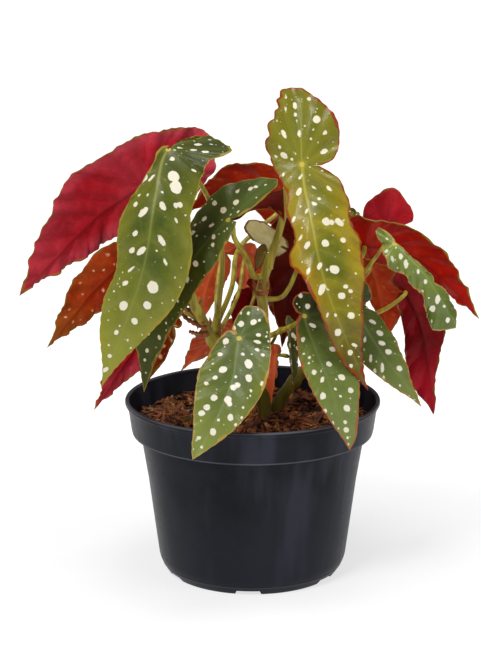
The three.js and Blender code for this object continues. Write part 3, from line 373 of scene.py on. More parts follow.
LEAVES: tuple[LeafShape, ...] = (
    LeafShape("leaf_crown", eared_half=Half.RIGHT, width=(31, 25), seed=3,
        rib=((31, -28, 280), (37, -50, 245), (47, -66, 205), (73, -70, 142)), ear=(31, -7, 327),
        faces=((0.05, -1, -0.15), (0.1, -1, 0.3), (0.2, -1, 0.2)),
        plain=((1, 0), (0.91, 0.06), (0.845, 0.2), (0.78, 0.34), (0.715, 0.48), (0.65, 0.61), (0.585, 0.76),
          (0.52, 0.86), (0.44, 0.9), (0.36, 0.93), (0.31, 0.83), (0.26, 0.8), (0.2, 0.88), (0.13, 0.8),
          (0.06, 0.68), (0.01, 0.36)),
        eared=((1, 0), (0.92, 0.16), (0.86, 0.3), (0.78, 0.34), (0.65, 0.36), (0.58, 0.38), (0.52, 0.47),
          (0.46, 0.54), (0.42, 0.72), (0.37, 0.72), (0.32, 0.5), (0.26, 0.5), (0.2, 0.6), (0.13, 0.48),
          (0.07, 0.54), (0, 0.72), (-0.14, 0.8), (-0.28, 0.93), (-0.37, 0.82), (-0.5, 0.87), (-0.58, 0.7),
          (-0.68, 0.68), (-0.72, 0.59), (-0.82, 0.64), (-0.87, 0.54), (-0.94, 0.55), (-0.99, 0.36),
          (-0.98, 0), (-0.9, -0.27), (-0.745, -0.67), (-0.57, -0.94), (-0.31, -1.01), (-0.17, -0.94),
          (-0.05, -0.8), (0.008, -0.5)),
        fold=(-10, 4), curl=(-30, -16), wave=2, waves=5, tooth=0.8,
        stalk=Stalk("cane_centre", 0.97, ((15, -7, 225), (20, -7, 244), (22, -8, 262)), 2.4),
        top=OLIVE_GOLD, under=ORANGE_RED,
        spots=Spots(0.3, (0.4, 0.8), ((8, -1.5, 1.3, 1.9), (18, -4, 2.2, 2), (16.5, 6, 1.3, 3),
          (18.5, 15.5, 1.7, 2), (25, 8, 1), (28, 4, 1.6, 1.6), (32, -1.5, 1.3, 3), (35.5, -11, 1.6, 2.4),
          (48, -8.5, 1.3, 2.8), (54, -5.5, 2.1, 1.6), (55, 6, 2.3), (41, 9.5, 2.5), (42, 12.5, 1.7),
          (43, 17.5, 2.4, 1.6), (32, 18, 0.7), (54.5, 18, 1.9), (68.5, -0.5, 1.9, 1.8), (72, 3.5, 0.8),
          (73, 8, 3), (70, -8.5, 1.6, 1.8), (83, -3, 2.8, 2), (84, 0.5, 1, 3), (77, -12.5, 0.8),
          (86, 12, 1.6), (90, 14, 1.4), (91, 7.5, 2.4), (99, -5, 1.2, 2.5), (101, -0.5, 1), (105, 8.5, 2.2),
          (112, -3, 2.3, 1.3), (124, 3.5, 1.4, 1.8), (127, -1, 1.8), (135, -4, 1.3), (121, -4, 0.6),
          (62, 14, 0.6), (-43.5, 5, 1.3), (-39, -4, 1.8, 2), (-45, -10, 1, 2), (-36, -10, 1.1, 3),
          (-33, -3.5, 1.1), (-28.5, -2.5, 0.8, 2), (-30, 10, 2.6, 1.2), (-37, 10, 0.5),
          (-21.5, 15.5, 1.5, 1.4), (-28, -15.5, 0.8), (-20, -11, 2, 2), (-20.5, -1, 1.6, 2.4),
          (-17, 6.5, 0.8), (-25.5, 2.5, 0.6), (-9, 15, 2.1, 1.8), (-6.5, -11, 2, 1.7), (-6.5, -16, 0.8),
          (5, -12.5, 1, 2), (-16, 21, 0.5), (-35, -13, 0.6)))),
    LeafShape("leaf_left_front", width=(26, 30), seed=5,
        rib=((-53, -62, 295), (-60, -80, 272), (-68, -90, 226), (-95, -84, 149)), ear=(-18, -25, 298),
        faces=((0.1, -0.1, 1), (0, -0.6, 0.8), (-0.1, -1, 0.1)),
        plain=((1, 0), (0.9, 0.24), (0.78, 0.68), (0.68, 0.84), (0.56, 0.78), (0.42, 0.92), (0.32, 0.94),
          (0.25, 0.78), (0.19, 0.56), (0.125, 0.36), (0.06, 0.23), (0.02, 0.24), (-0.03, 0.2),
          (-0.07, 0.08)),
        eared=((1, 0), (0.9, 0.16), (0.74, 0.52), (0.58, 0.86), (0.42, 0.94), (0.28, 0.8), (0.14, 0.86),
          (0, 0.9), (-0.2, 0.83), (-0.37, 0.77), (-0.48, 0.82), (-0.57, 0.87), (-0.67, 0.8), (-0.75, 0.62),
          (-0.8, 0.42), (-0.82, 0.22), (-0.83, 0.02), (-0.84, -0.16), (-0.6, -0.1), (-0.2, -0.05)),
        fold=(-18, -6), curl=(-24, -20), wave=1.4, waves=4.5, tooth=0.6,
        stalk=Stalk("cane_back", 0.98, ((-22, 0, 186), (-20, -3, 212), (-24, -10, 240), (-34, -30, 268)),
          1.7),
        top=MID_GREEN, under=CRIMSON,
        spots=Spots(0.3, (0.4, 0.8), ((6, 5.5, 1.6), (19, 9, 3.7), (25.5, 11.5, 3.8), (10, 20.5, 1.7),
          (22, -10, 2.3, 2), (21.5, -5, 1.4, 3), (33, -5.5, 0.9, 2), (39.5, -13, 1.7, 1.4),
          (44, -6.5, 2.9, 1.9), (38.5, 5.5, 2.3, 1.6), (37, 13.5, 1.7), (36, 16, 1.8), (46.5, 15, 1.2, 2),
          (58, -10.5, 2.1, 1.4), (60, 8, 2.5, 2.3), (69.5, -11, 2.1, 1.3), (68.5, -4, 2.7, 2), (73, 6, 0.6),
          (72, 12.5, 1.4, 2.5), (82, -8.5, 1.6, 3.4), (92, -9.5, 1.9, 1.5), (88, 9, 3.6),
          (106, -5.5, 3.1, 1.2), (100, 9, 2.5), (112, 5, 2.1), (120, -12.5, 0.8), (119, -3, 0.8),
          (124, -3.5, 1.6), (134, -5.5, 0.8), (130, 8.5, 0.7), (140, -2, 1.5), (150, -2, 1.9, 2.2),
          (101, -16, 0.8, 2), (91, -15, 0.7), (-7, 4, 1.3, 2), (-14, 10, 1.7, 2.5), (-22, 6, 2.2, 1.6),
          (-19, 16, 1.5, 2), (-12, 2, 0.7), (-32, 8, 1.2), (-37, 1, 1.3), (-35, 15, 0.6)))),
    LeafShape("leaf_left_inner", eared_half=Half.RIGHT, width=(14, 27), seed=8,
        rib=((-16, -47, 248), (-41, -58, 220), (-60, -60, 184), (-70, -52, 136)), ear=(16, -33, 271),
        faces=((-0.2, -0.5, 1), (-0.5, -0.8, 0.6), (-0.4, -1, 0)),
        eared=((1, 0), (0.9, 0.2), (0.74, 0.5), (0.56, 0.78), (0.36, 0.93), (0.16, 0.98), (0, 0.98),
          (-0.45, 0.8), (-0.82, 0.5), (-1, 0.06), (-0.86, -0.16), (-0.5, -0.24), (-0.16, -0.16)),
        lap=(((-16, -46, 249), (-16, -43, 246)), ((-9, -43, 253), (-9, -40, 247)), ((-3, -40, 256),
          (-3, -37, 251)), ((5, -37, 260), (5, -34, 252)), ((12, -34, 263), (12, -31, 251)),
          ((19, -31, 265), (20, -28, 243))),
        fold=(-6, -4), curl=(-20, -10), wave=1.2,
        stalk=Stalk("cane_centre", 0.92, ((1, -14, 204), (-4, -24, 218), (-12, -36, 234)), 1.8),
        top=DEEP_GREEN, under=UMBER,
        spots=Spots(0.3, (0.4, 0.8), ((-3, -18, 1.8, 1.4), (-3, -8.5, 2.2), (8, -16.5, 1.9),
          (9, -6.5, 1.6, 1.4), (-12, -6.5, 2.1), (-18, -13, 1.4), (-25, -8, 1.6), (-29, -7, 1.3),
          (-34, -4, 0.8), (20, -15.5, 2.3), (14, -20, 1.1), (20, -10, 0.8), (14.5, 1.5, 1.6, 1.4),
          (5, 4.5, 0.9), (19, 5, 1.3), (35, 3.5, 2), (38, -4, 1), (31, 7.5, 0.6), (46, 4.5, 1.8, 1.8),
          (57, 1.5, 1.5, 2), (70, 3, 1.3, 2), (78, 5, 0.7), (89, -4.5, 1.6), (89, 3.5, 1.3, 2),
          (101, -3, 1.5), (108, -3.5, 1), (116, -1, 0.7), (102, 4, 0.6), (60, -9, 1.6), (72, -8, 1.2)))),
    LeafShape("leaf_low_front", width=(21.5, 22), seed=11,
        rib=((-9, -62, 174), (-13, -80, 154), (-22, -94, 134), (-38, -104, 107)), ear=(3, -50, 192),
        faces=((0.1, -1, 0.6), (0.05, -1, 0.7), (0.1, -1, 0.3)),
        plain=((1, 0), (0.93, 0.19), (0.81, 0.42), (0.7, 0.65), (0.58, 0.83), (0.465, 0.94), (0.35, 1),
          (0.23, 0.91), (0.12, 0.73), (0.03, 0.54), (-0.12, 0.36), (-0.12, 0.18)),
        eared=((1, 0), (0.9, 0.2), (0.74, 0.5), (0.56, 0.76), (0.36, 0.95), (0.16, 1), (0, 0.98),
          (-0.45, 0.8), (-0.82, 0.5), (-1, 0.06), (-0.86, -0.3), (-0.5, -0.36), (-0.16, -0.3)),
        fold=(6, 8), curl=(-14, -14), wave=0.8, tooth=0.4,
        stalk=Stalk("cane_centre", 0.5, ((6, -20, 158), (0, -38, 166)), 1.6), under=CRIMSON,
        spots=Spots(0.4, (0.35, 0.7), ((4, -7.5, 1.9), (13, -10, 1.6), (24, -7, 2.7, 1.3),
          (31.5, -10.5, 1.7), (38, -14.5, 1.4), (39, -7, 0.6), (45.5, -6.5, 2.2), (53, -8, 2),
          (58, -9.5, 2.1), (62.5, -7.5, 0.7), (72.5, -3.5, 1.3), (75, -4, 0.7), (76.5, 1, 0.9),
          (65, 2.5, 2.1), (57, 2, 0.8), (52.5, 8, 2, 1.4), (43, 2, 2.4), (45, 4, 1.7), (34, 2.5, 2),
          (32, 4.5, 1.7), (27, 2, 1), (26, 10, 2.1), (17.5, 8.5, 2.7, 1.3), (11, 4.5, 1.1), (6, 13, 1.6),
          (10, 17, 1.3), (-3, 11.5, 2, 1.5), (-8.5, 10, 1.5), (-10.5, 15, 0.7), (-13.5, 14, 0.7),
          (-8, 17.5, 0.9), (-2, 19, 0.8), (-14.5, 3, 2.1), (-17.5, 5.5, 1), (-9.5, -3, 1.9), (-5, -6, 1.5),
          (-18, -3, 1.1), (-15.5, -7, 0.9), (27, 19, 1.2), (33, 13.5, 0.8), (36, 14.5, 0.7),
          (44, 12.5, 0.9), (50, 14.5, 0.9), (55, 13, 0.9), (67.5, 8, 0.7), (17, -14.5, 0.5),
          (45, -16, 0.5)))),
    LeafShape("leaf_right_front", width=(13, 22), seed=14,
        rib=((33, -42, 184), (39.5, -60, 166), (49, -78, 145), (61, -84, 107)), ear=(33, -32, 198),
        faces=((0.1, -1, 0.4), (0.2, -1, 0.5), (0.2, -1, 0.2)),
        plain=((1, 0), (0.92, 0.16), (0.82, 0.42), (0.71, 0.68), (0.61, 0.85), (0.51, 0.95), (0.41, 0.98),
          (0.31, 0.92), (0.2, 0.78), (0.1, 0.6), (0.04, 0.45), (-0.04, 0.25)),
        eared=((1, 0), (0.92, 0.33), (0.82, 0.53), (0.71, 0.7), (0.61, 0.87), (0.51, 0.98), (0.36, 1),
          (0.16, 1), (0, 1), (-0.45, 0.9), (-0.82, 0.58), (-1, 0.06), (-0.86, -0.2), (-0.5, -0.34),
          (-0.16, -0.24)),
        fold=(8, -2), curl=(-20, -16), wave=1, tooth=0.4,
        stalk=Stalk("cane_centre", 0.6, ((15, -12, 165), (26, -26, 174)), 1.7), top=SHADED_GREEN,
        under=CRIMSON,
        spots=Spots(0.4, (0.4, 0.75), ((-14, -2.5, 1.6, 1.5), (-19, -1, 0.8), (-7, 2.5, 1.9),
          (7.5, 4, 2.1, 1.6), (17.5, -5.5, 1.6, 1.7), (28, 11, 2.1), (38.5, 5, 1.9), (50, 9.5, 2.3),
          (50.5, 5.5, 0.8), (42, -6.5, 1.6), (48, -3, 1.6, 1.8), (42, -1.5, 1, 3), (58, -6.5, 2.1, 1.4),
          (67, -8.5, 1.3), (61.5, 4.5, 1), (60, 12, 1.8), (70, 6, 2.2), (76, -6, 1.5), (80, -7.5, 1.1),
          (78, 2.5, 1.2), (83, 1.5, 1.8), (88, 1, 0.9), (92, 0, 0.9), (31, -5.5, 1.1), (27, -8, 0.7),
          (35, -7.5, 0.8), (34.5, -4.5, 0.6), (30, -2.5, 0.5), (52, 18, 0.6)))),
    LeafShape("leaf_right_low", eared_half=Half.RIGHT, width=(16, 17), seed=17,
        rib=((65, -22, 188), (73, -34, 174), (84, -42, 158), (109, -44, 124)), ear=(69, -12, 203),
        faces=((0.3, -1, 0.2), (0.5, -1, 0.4), (0.4, -1, 0.3)),
        fold=(-6, -4), curl=(-16, -16), wave=0.9,
        stalk=Stalk("cane_right", 0.8, ((46, 0, 158), (56, -8, 174)), 1.6), top=PLAIN_GREEN, under=CRIMSON,
        spots=Spots(0.4, (0.4, 0.7), ((4, 11, 1.7), (17.5, 7, 2, 1.5), (27, 7.5, 2.4), (34, 4, 2.1, 1.6),
          (41.5, 4.5, 2.1, 1.3), (27, -5, 1.5, 2.2), (38.5, -8.5, 1.6, 2.2), (47, -5.5, 1.9, 2.6),
          (46, -11, 1.2, 2.4), (53, -9, 1.2, 2), (54.5, 3.5, 1.9), (60.5, -8, 1.1, 1.6), (63.5, -3, 0.8),
          (73.5, -3.5, 1.4, 1.4), (77, -1.5, 0.7), (60.5, 8, 0.8), (8.5, 16, 0.9, 2)))),
    LeafShape("leaf_right_narrow", eared_half=Half.RIGHT, width=(16, 17), seed=20,
        rib=((91, -30, 229), (107, -38, 214), (120, -44, 196), (130, -46, 177)), ear=(80, -23, 237),
        faces=((-0.5, -0.8, 0.5), (-0.5, -0.8, 0.5), (-0.4, -0.9, 0.3)),
        plain=((1, 0), (0.92, 0.34), (0.82, 0.5), (0.7, 0.56), (0.6, 0.5), (0.54, 0.22), (0.44, 0.36),
          (0.3, 0.24), (0.2, 0.12), (0.1, 0.14), (-0.02, 0.06)),
        eared=((1, 0), (0.97, 0.45), (0.93, 0.82), (0.86, 0.93), (0.71, 0.74), (0.57, 0.56), (0.43, 0.68),
          (0.3, 0.58), (0.2, 0.76), (0.12, 0.86), (0.05, 0.66), (0, 0.6), (-0.45, 0.36), (-0.82, 0.22),
          (-1, 0.04), (-0.86, -0.1), (-0.5, -0.16), (-0.16, -0.1)),
        fold=(-4, -58), curl=(-10, -30), wave=2.6, waves=5, tooth=0.4,
        stalk=Stalk("cane_right", 0.97, ((66, 0, 194), (79, -10, 214)), 1.2, lean=6, gap=0.4),
        top=GREY_GREEN, under=CRIMSON,
        spots=Spots(0.2, (0.4, 0.7), ((-6, -1, 0.9), (2.5, -1.5, 0.8), (-0.5, -7.5, 1.1, 2),
          (5.5, -8.5, 1.5, 2.8), (12, -10.5, 0.6), (8.5, -3.5, 1.8, 1.6), (14.5, -4.5, 2.1, 1.8),
          (23.5, -2, 1.3, 1.6), (32, -2.5, 1.4, 1.4), (36, -8, 1.1), (46, -2, 2.3, 1.9),
          (50, -8.5, 2.2, 1.3), (52, -0.5, 1), (61, -2.5, 1.6, 1.6), (58, -13, 1.1, 2.5)))),
    LeafShape("leaf_left_back", width=(19, 35), seed=23,
        rib=((-72, 28, 256), (-100, 30, 238), (-127, 20, 213), (-154, 2, 187)), ear=(-28, 48, 286),
        faces=((-0.3, 1, 0.1), (-0.3, 1, 0.2), (-0.5, 1, 0.3)),
        eared=((1, 0), (0.9, 0.2), (0.74, 0.48), (0.56, 0.78), (0.36, 0.98), (0.16, 1.05), (0, 1),
          (-0.45, 0.76), (-0.82, 0.42), (-1, 0.06), (-0.86, -0.5), (-0.5, -0.78), (-0.16, -0.62)),
        fold=(-6, 2), curl=(-24, -14), wave=2.4, waves=5, tooth=0.9, puff=2.0,
        stalk=Stalk("cane_left", 0.96, ((-52, -16, 232), (-60, 8, 246)), 1.8), top=MID_GREEN, under=CRIMSON),
    LeafShape("leaf_left_low", width=(14, 18), seed=26,
        rib=((-91, 28, 200), (-107, 26, 184), (-121, 20, 168), (-137, 8, 150)), ear=(-80, 36, 209),
        faces=((-0.4, 1, 0.2), (-0.4, 1, 0.2), (-0.6, 1, 0.4)),
        fold=(-8, 6), curl=(-16, -10), wave=1.1, waves=5, puff=1.4,
        stalk=Stalk("cane_left", 0.9, ((-62, -8, 204), (-78, 8, 200)), 1.5), under=EMBER,
        spots=Spots(0.5, (0.6, 1.5))),
    LeafShape("leaf_left_hanging", eared_half=Half.RIGHT, width=(14, 14), seed=29,
        rib=((-68, -4, 168), (-80, -8, 151), (-92, -16, 134), (-104, -26, 117)), ear=(-60, 2, 178),
        faces=((-0.4, 1, 0.2), (-0.4, 1, 0.3), (-0.7, 0.8, 0.3)),
        fold=(-6, 6), curl=(-12, -10), wave=1.1, waves=5, puff=1.2,
        stalk=Stalk("cane_left", 0.7, ((-46, -20, 184), (-58, -12, 180)), 1.4), top=MID_GREEN,
        under=CRIMSON, spots=Spots(0.5, (0.6, 1.5))),
    LeafShape("leaf_left_small", width=(8, 9), seed=32,
        rib=((-56, 40, 157), (-62, 44, 146), (-66, 46, 136), (-72, 44, 122)), ear=(-52, 36, 165),
        faces=((0.2, 1, 0.1), (0.2, 1, 0.1), (-0.2, 1, 0.1)),
        fold=(4, 6), curl=(-12, -10), wave=0.8, tooth=0.4,
        stalk=Stalk("cane_left", 0.76, ((-46, -12, 187), (-56, 16, 176)), 1.1), under=EMBER,
        spots=Spots(0.9, (0.8, 1.8))),
    LeafShape("leaf_left_bud", eared_half=Half.RIGHT, width=(9, 10), seed=35,
        rib=((-64, 18, 152), (-67, 18, 143), (-70, 16, 134), (-72, 14, 122)), ear=(-60, 18, 159),
        faces=((-0.2, 1, 0.1), (-0.2, 1, 0.1), (-0.2, 1, 0.1)),
        fold=(4, 6), curl=(-12, -10), wave=0.7, tooth=0.4,
        stalk=Stalk("cane_left", 0.66, ((-42, -14, 178), (-52, 8, 172)), 1.1), under=EMBER,
        spots=Spots(0.9, (0.8, 1.8))),
    LeafShape("leaf_back_top", eared_half=Half.RIGHT, width=(17, 18), seed=38,
        rib=((23, 58, 238), (8, 66, 250), (-14, 72, 250), (-46, 76, 228)), ear=(40, 50, 246),
        faces=((0.2, 1, 0.2), (0, 1, 0.35), (-0.2, 1, 0.2)),
        fold=(2, -4), curl=(-24, -24), wave=1.4, puff=1.4,
        stalk=Stalk("cane_back", 0.94, ((-14, 12, 190), (-10, 26, 212), (6, 40, 226)), 1.6), top=MID_GREEN,
        under=ORANGE_RED),
    LeafShape("leaf_right_back", eared_half=Half.RIGHT, width=(17, 26), seed=41,
        rib=((74, 14, 218), (98, 18, 215), (126, 16, 196), (151, 12, 169)), ear=(56, 14, 220),
        faces=((0.1, 1, 0.4), (0.1, 1, 0.5), (0.5, 1, 0.5)),
        fold=(-4, 6), curl=(-24, -20), wave=1.2, waves=5, tooth=0.6, puff=1.8,
        stalk=Stalk("cane_right", 0.99, ((66, 8, 202),), 1.7), top=MID_GREEN, under=RUBY_OLIVE),
    LeafShape("leaf_right_top", width=(15, 17), seed=44,
        rib=((91, 50, 222), (98, 58, 206), (106, 66, 188), (112, 70, 162)), ear=(94, 46, 251),
        faces=((-0.1, 1, -0.1), (0, 1, 0.2), (0, 1, 0.3)),
        eared=((1, 0), (0.9, 0.15), (0.7, 0.5), (0.4, 0.9), (0.1, 1.02), (-0.25, 0.98), (-0.5, 0.94),
          (-0.74, 0.62), (-1.03, 0.16), (-0.96, -0.22), (-0.76, -0.6), (-0.52, -0.98), (-0.24, -1.02),
          (-0.08, -0.7)),
        fold=(4, 4), curl=(-14, -12), wave=1, tooth=0.6, puff=1.6,
        stalk=Stalk("cane_right", 0.95, ((57, 30, 198), (70, 44, 214)), 1.5), under=ROSE,
        spots=Spots(0.7, (0.9, 1.9))),
    LeafShape("leaf_right_hanging", eared_half=Half.RIGHT, width=(15, 16), seed=47,
        rib=((101, 6, 189), (112, 8, 165), (117, 6, 140), (121, 0, 106)), ear=(84, 2, 210),
        faces=((0.1, 1, 0.1), (0.1, 1, 0.1), (0.2, 1, 0)),
        plain=((1, 0), (0.9, 0.31), (0.82, 0.71), (0.72, 0.93), (0.6, 0.99), (0.45, 0.93), (0.3, 0.8),
          (0.15, 0.7), (0.03, 0.55), (-0.06, 0.36)),
        eared=((1, 0), (0.89, 0.16), (0.8, 0.15), (0.72, 0.2), (0.65, 0.36), (0.6, 0.48), (0.53, 0.56),
          (0.46, 0.74), (0.38, 0.95), (0.28, 1), (0.14, 0.96), (0, 0.85), (-0.3, 0.6), (-0.55, 0.2),
          (-0.5, -0.15), (-0.3, -0.25), (-0.12, -0.2)),
        fold=(4, 8), curl=(-16, -14), wave=1.8, waves=5, puff=1.8,
        stalk=Stalk("cane_right", 0.85, ((70, 0, 172), (88, -4, 180)), 1.5), top=MID_GREEN, under=WINE,
        spots=Spots(0.7, (0.9, 1.9))),
    LeafShape("leaf_right_inner", eared_half=Half.RIGHT, width=(9, 21), seed=50,
        rib=((79, 33, 202), (84, 41, 186), (88, 46, 170), (93, 47, 149)), ear=(74, 27, 214),
        faces=((0.1, 1, 0.2), (0.1, 1, 0.2), (0.1, 1, 0.1)),
        eared=((1, 0), (0.92, 0.25), (0.8, 0.52), (0.66, 0.74), (0.5, 0.9), (0.3, 1), (0.1, 1),
          (-0.3, 0.95), (-0.7, 0.8), (-0.95, 0.4), (-0.95, -0.2), (-0.6, -0.7), (-0.16, -0.6)),
        fold=(2, 4), curl=(-20, -20), wave=1, puff=1.5,
        stalk=Stalk("cane_right", 0.92, ((62, 18, 180), (72, 22, 192)), 1.5), top=MID_GREEN, under=LANTERN,
        spots=Spots(0.7, (0.9, 1.9))),
    LeafShape("leaf_pale_young", eared_half=Half.RIGHT, width=(8, 12), seed=53,
        rib=((14, 6, 222), (8, 10, 226), (0, 12, 229), (-6, 12, 231)), ear=(24, 6, 217),
        faces=((-0.2, 1, 0.6), (-0.2, 1, 0.6), (-0.2, 1, 0.6)),
        plain=((1, 0), (0.97, 0.5), (0.88, 0.85), (0.7, 1), (0.5, 1), (0.3, 1), (0.12, 1), (-0.1, 0.95),
          (-0.4, 0.9), (-0.7, 0.6), (-0.9, 0.1), (-0.5, 0.02)),
        eared=((1, 0), (0.9, 0.3), (0.7, 0.74), (0.45, 1), (0.2, 1.05), (0, 1), (-0.4, 0.9), (-0.7, 0.6),
          (-0.9, 0.1), (-0.5, 0.02)),
        fold=(10, 10), curl=(10, 20), wave=0.6, tooth=0.4,
        stalk=Stalk("cane_centre", 0.98, ((12, 0, 212),), 1.1), top=FADED, under=PALE_CREAM,
        spots=Spots(0.5, (0.8, 1.6))),
    LeafShape("leaf_pale_small", width=(4, 5), seed=56,
        rib=((8, 16, 214), (6, 18, 209), (4, 20, 204), (1, 20, 199)), ear=(11, 15, 218),
        faces=((-0.2, 1, 0.2), (-0.2, 1, 0.2), (-0.2, 1, 0.2)),
        fold=(6, 6), curl=(10, 10), wave=0.4, waves=3, tooth=0.2,
        stalk=Stalk("cane_centre", 0.93, ((7, 6, 204),), 0.9), top=OLIVE_BROWN, under=OLIVE_BROWN_UNDER,
        spots=Spots(0.5, (0.8, 1.6))),
    LeafShape("leaf_back_low_left", eared_half=Half.RIGHT, width=(13, 15), seed=59,
        rib=((-14, 62, 150), (-26, 72, 141), (-36, 80, 130), (-50, 86, 113)), ear=(-6, 54, 157),
        faces=((-0.2, 1, 0.5), (-0.3, 1, 0.5), (-0.4, 1, 0.5)),
        fold=(4, 6), curl=(-14, -12), wave=1, stalk=Stalk("cane_back", 0.6, ((-16, 34, 146),), 1.4),
        top=MID_GREEN, under=GLOWING),
    LeafShape("leaf_dark_narrow", width=(8, 8), seed=62,
        rib=((24, -8, 167), (25, -12, 155), (26, -16, 142), (26, -18, 126)), ear=(24, -4, 175),
        faces=((0.9, -0.5, 0.1), (0.9, -0.5, 0.1), (0.9, -0.4, 0.1)),
        fold=(20, 20), curl=(-10, -10), wave=0.7, tooth=0.3,
        stalk=Stalk("cane_centre", 0.5, ((14, -2, 158),), 1.1), top=DEEP_GREEN, under=WINE,
        spots=Spots(0.8, (1.0, 2.0))),
    LeafShape("leaf_back_left", width=(12, 14), seed=65,
        rib=((-22, 50, 205), (-28, 58, 190), (-33, 64, 172), (-38, 64, 148)), ear=(-16, 42, 216),
        faces=((-0.1, 1, 0.2), (-0.1, 1, 0.3), (-0.1, 1, 0.1)),
        fold=(6, 8), curl=(-14, -14), wave=1.2, tooth=0.6,
        stalk=Stalk("cane_back", 0.9, ((-24, 28, 184),), 1.3), under=GLOWING),
    LeafShape("leaf_back_middle", eared_half=Half.RIGHT, width=(10, 12), seed=68,
        rib=((-4, 58, 203), (-3, 68, 188), (-2, 74, 172), (-4, 76, 150)), ear=(-6, 48, 213),
        faces=((0.3, 1, 0.2), (0.3, 1, 0.3), (0.2, 1, 0.1)),
        fold=(10, 10), curl=(-14, -14), wave=1.4, waves=5, tooth=0.6,
        stalk=Stalk("cane_back", 0.85, ((-10, 32, 180),), 1.3), under=GLOWING),
    LeafShape("leaf_back_low", eared_half=Half.RIGHT, width=(11, 13), seed=71,
        rib=((1, 44, 181), (-3, 50, 171), (-6, 53, 158), (-8, 52, 140)), ear=(9, 37, 187),
        faces=((0, 1, 0.4), (-0.1, 1, 0.4), (-0.2, 1, 0.2)),
        fold=(4, 6), curl=(-14, -14), wave=1, stalk=Stalk("cane_back", 0.8, ((-8, 24, 162),), 1.3),
        under=WINE),
    LeafShape("leaf_back_right", width=(17, 19), seed=74,
        rib=((30, 22, 222), (28, 29, 200), (24, 33, 176), (20, 31, 144)), ear=(32, 13, 238),
        faces=((0.2, 1, 0.2), (0.2, 1, 0.2), (0.2, 1, 0.1)),
        fold=(10, 10), curl=(-20, -20), wave=1.4, waves=5,
        stalk=Stalk("cane_centre", 0.8, ((20, 6, 186), (30, 14, 206)), 1.5), under=UMBER),
    LeafShape("leaf_young_top", width=(4, 4), seed=77,
        rib=((66, 24, 238), (64, 24, 234), (63, 24, 230), (63, 24, 226)), ear=(68, 23, 241),
        faces=((-0.6, -0.8, 0.4), (-0.6, -0.8, 0.4), (-0.6, -0.8, 0.2)),
        fold=(20, 20), curl=(20, 20), wave=0.3, waves=3, tooth=0.2,
        stalk=Stalk("cane_right", 0.97, ((56, 26, 206), (62, 34, 226)), 0.9), under=CRIMSON,
        spots=Spots(0.6, (0.6, 1.2))),
    LeafShape("leaf_red_narrow", width=(7, 8), seed=80,
        rib=((15, -16, 151), (14, -19, 142), (13, -20, 133), (12, -20, 119)), ear=(16, -13, 158),
        faces=((-0.8, 0.6, 0), (-0.8, 0.6, 0), (-0.8, 0.5, 0)),
        fold=(20, 20), curl=(-10, -10), wave=0.7, tooth=0.3,
        stalk=Stalk("cane_centre", 0.42, ((15, -2, 147), (23, -8, 148)), 1), under=GLOWING),
    LeafShape("leaf_back_low_right", width=(14, 16), seed=83,
        rib=((26, 54, 168), (32, 66, 156), (36, 74, 142), (38, 78, 122)), ear=(22, 44, 175),
        faces=((0.3, 1, 0.4), (0.3, 1, 0.4), (0.3, 1, 0.1)),
        fold=(4, 6), curl=(-16, -14), wave=1.2,
        stalk=Stalk("cane_right", 0.5, ((36, 32, 146), (34, 48, 157)), 1.4), under=ORANGE_RED),
    LeafShape("leaf_back_high", eared_half=Half.RIGHT, width=(20, 24), seed=86,
        rib=((48, 59, 214), (60, 78.5, 198), (69, 91.5, 174), (76, 99.5, 140)), ear=(38, 47, 224),
        faces=((0.2, 1, 0.5), (0.3, 1, 0.5), (0.2, 1, 0.1)),
        fold=(4, 4), curl=(-20, -20), wave=1.6, tooth=0.6, puff=1.4,
        stalk=Stalk("cane_right", 0.85, ((48, 30, 184), (46, 42, 202)), 1.6), under=ORANGE_RED),
)

CANES: tuple[CaneShape, ...] = (
    CaneShape("cane_left",
        path=((-9, -12, 79), (-9, -12, 104), (-15, -18, 130), (-24, -28, 159), (-37, -38, 190),
          (-42, -40, 203), (-48, -34, 218)),
        radii=(4.4, 2.8), joints=(0.25, 0.6, 0.78),
        stub=(((-30, -37, 175), (-37, -34, 177), (-42, -31, 179), (-46, -28, 182)), ((-29, -37, 171),
          (-35, -34, 170), (-41, -31, 171)), ((-33, -37, 181), (-39, -34, 187), (-42, -31, 192)),
          ((-31, -37, 178), (-37, -34, 183), (-44, -31, 187)))),
    CaneShape("cane_back",
        path=((-13, 14, 79), (-13, 14, 104), (-18, 16, 130), (-24, 14, 158), (-24, 10, 170)),
        radii=(4.2, 2.6), joints=(0.35, 0.62, 0.9)),
    CaneShape("cane_centre",
        path=((8, -5, 79), (8, -5, 104), (7, -4, 140), (7, -4, 176), (6, -6, 196), (11, -8, 212)),
        radii=(4.6, 3), joints=(0.35, 0.6, 0.84), husk=True),
    CaneShape("cane_right",
        path=((17, 12, 79), (17, 12, 96), (17.5, 12, 110), (32, 14, 130), (47, 14, 145), (57, 12, 168),
          (62, 12, 190)),
        radii=(4.6, 2.8), joints=(0.4, 0.62, 0.85)),
)


# Modelling


def only(piece: Piece) -> None:
    """Makes a piece the one that is selected and active."""
    bpy.ops.object.select_all(action="DESELECT")
    piece.select_set(True)
    bpy.context.view_layer.objects.active = piece


def settle(piece: Piece) -> None:
    """Puts a piece's place, turn and size into its mesh."""
    only(piece)
    bpy.ops.object.transform_apply(location=True, rotation=True, scale=True)


@contextmanager
def editing(piece: Piece) -> Iterator[None]:
    """Opens a piece in edit mode, all of it selected, and closes it at the end."""
    only(piece)
    bpy.ops.object.mode_set(mode="EDIT")
    bpy.ops.mesh.select_all(action="SELECT")
    yield
    bpy.ops.object.mode_set(mode="OBJECT")


def apply_modifiers(piece: Piece) -> None:
    """Applies a piece's modifiers in their order."""
    only(piece)
    for name in [m.name for m in piece.modifiers]:
        bpy.ops.object.modifier_apply(modifier=name)


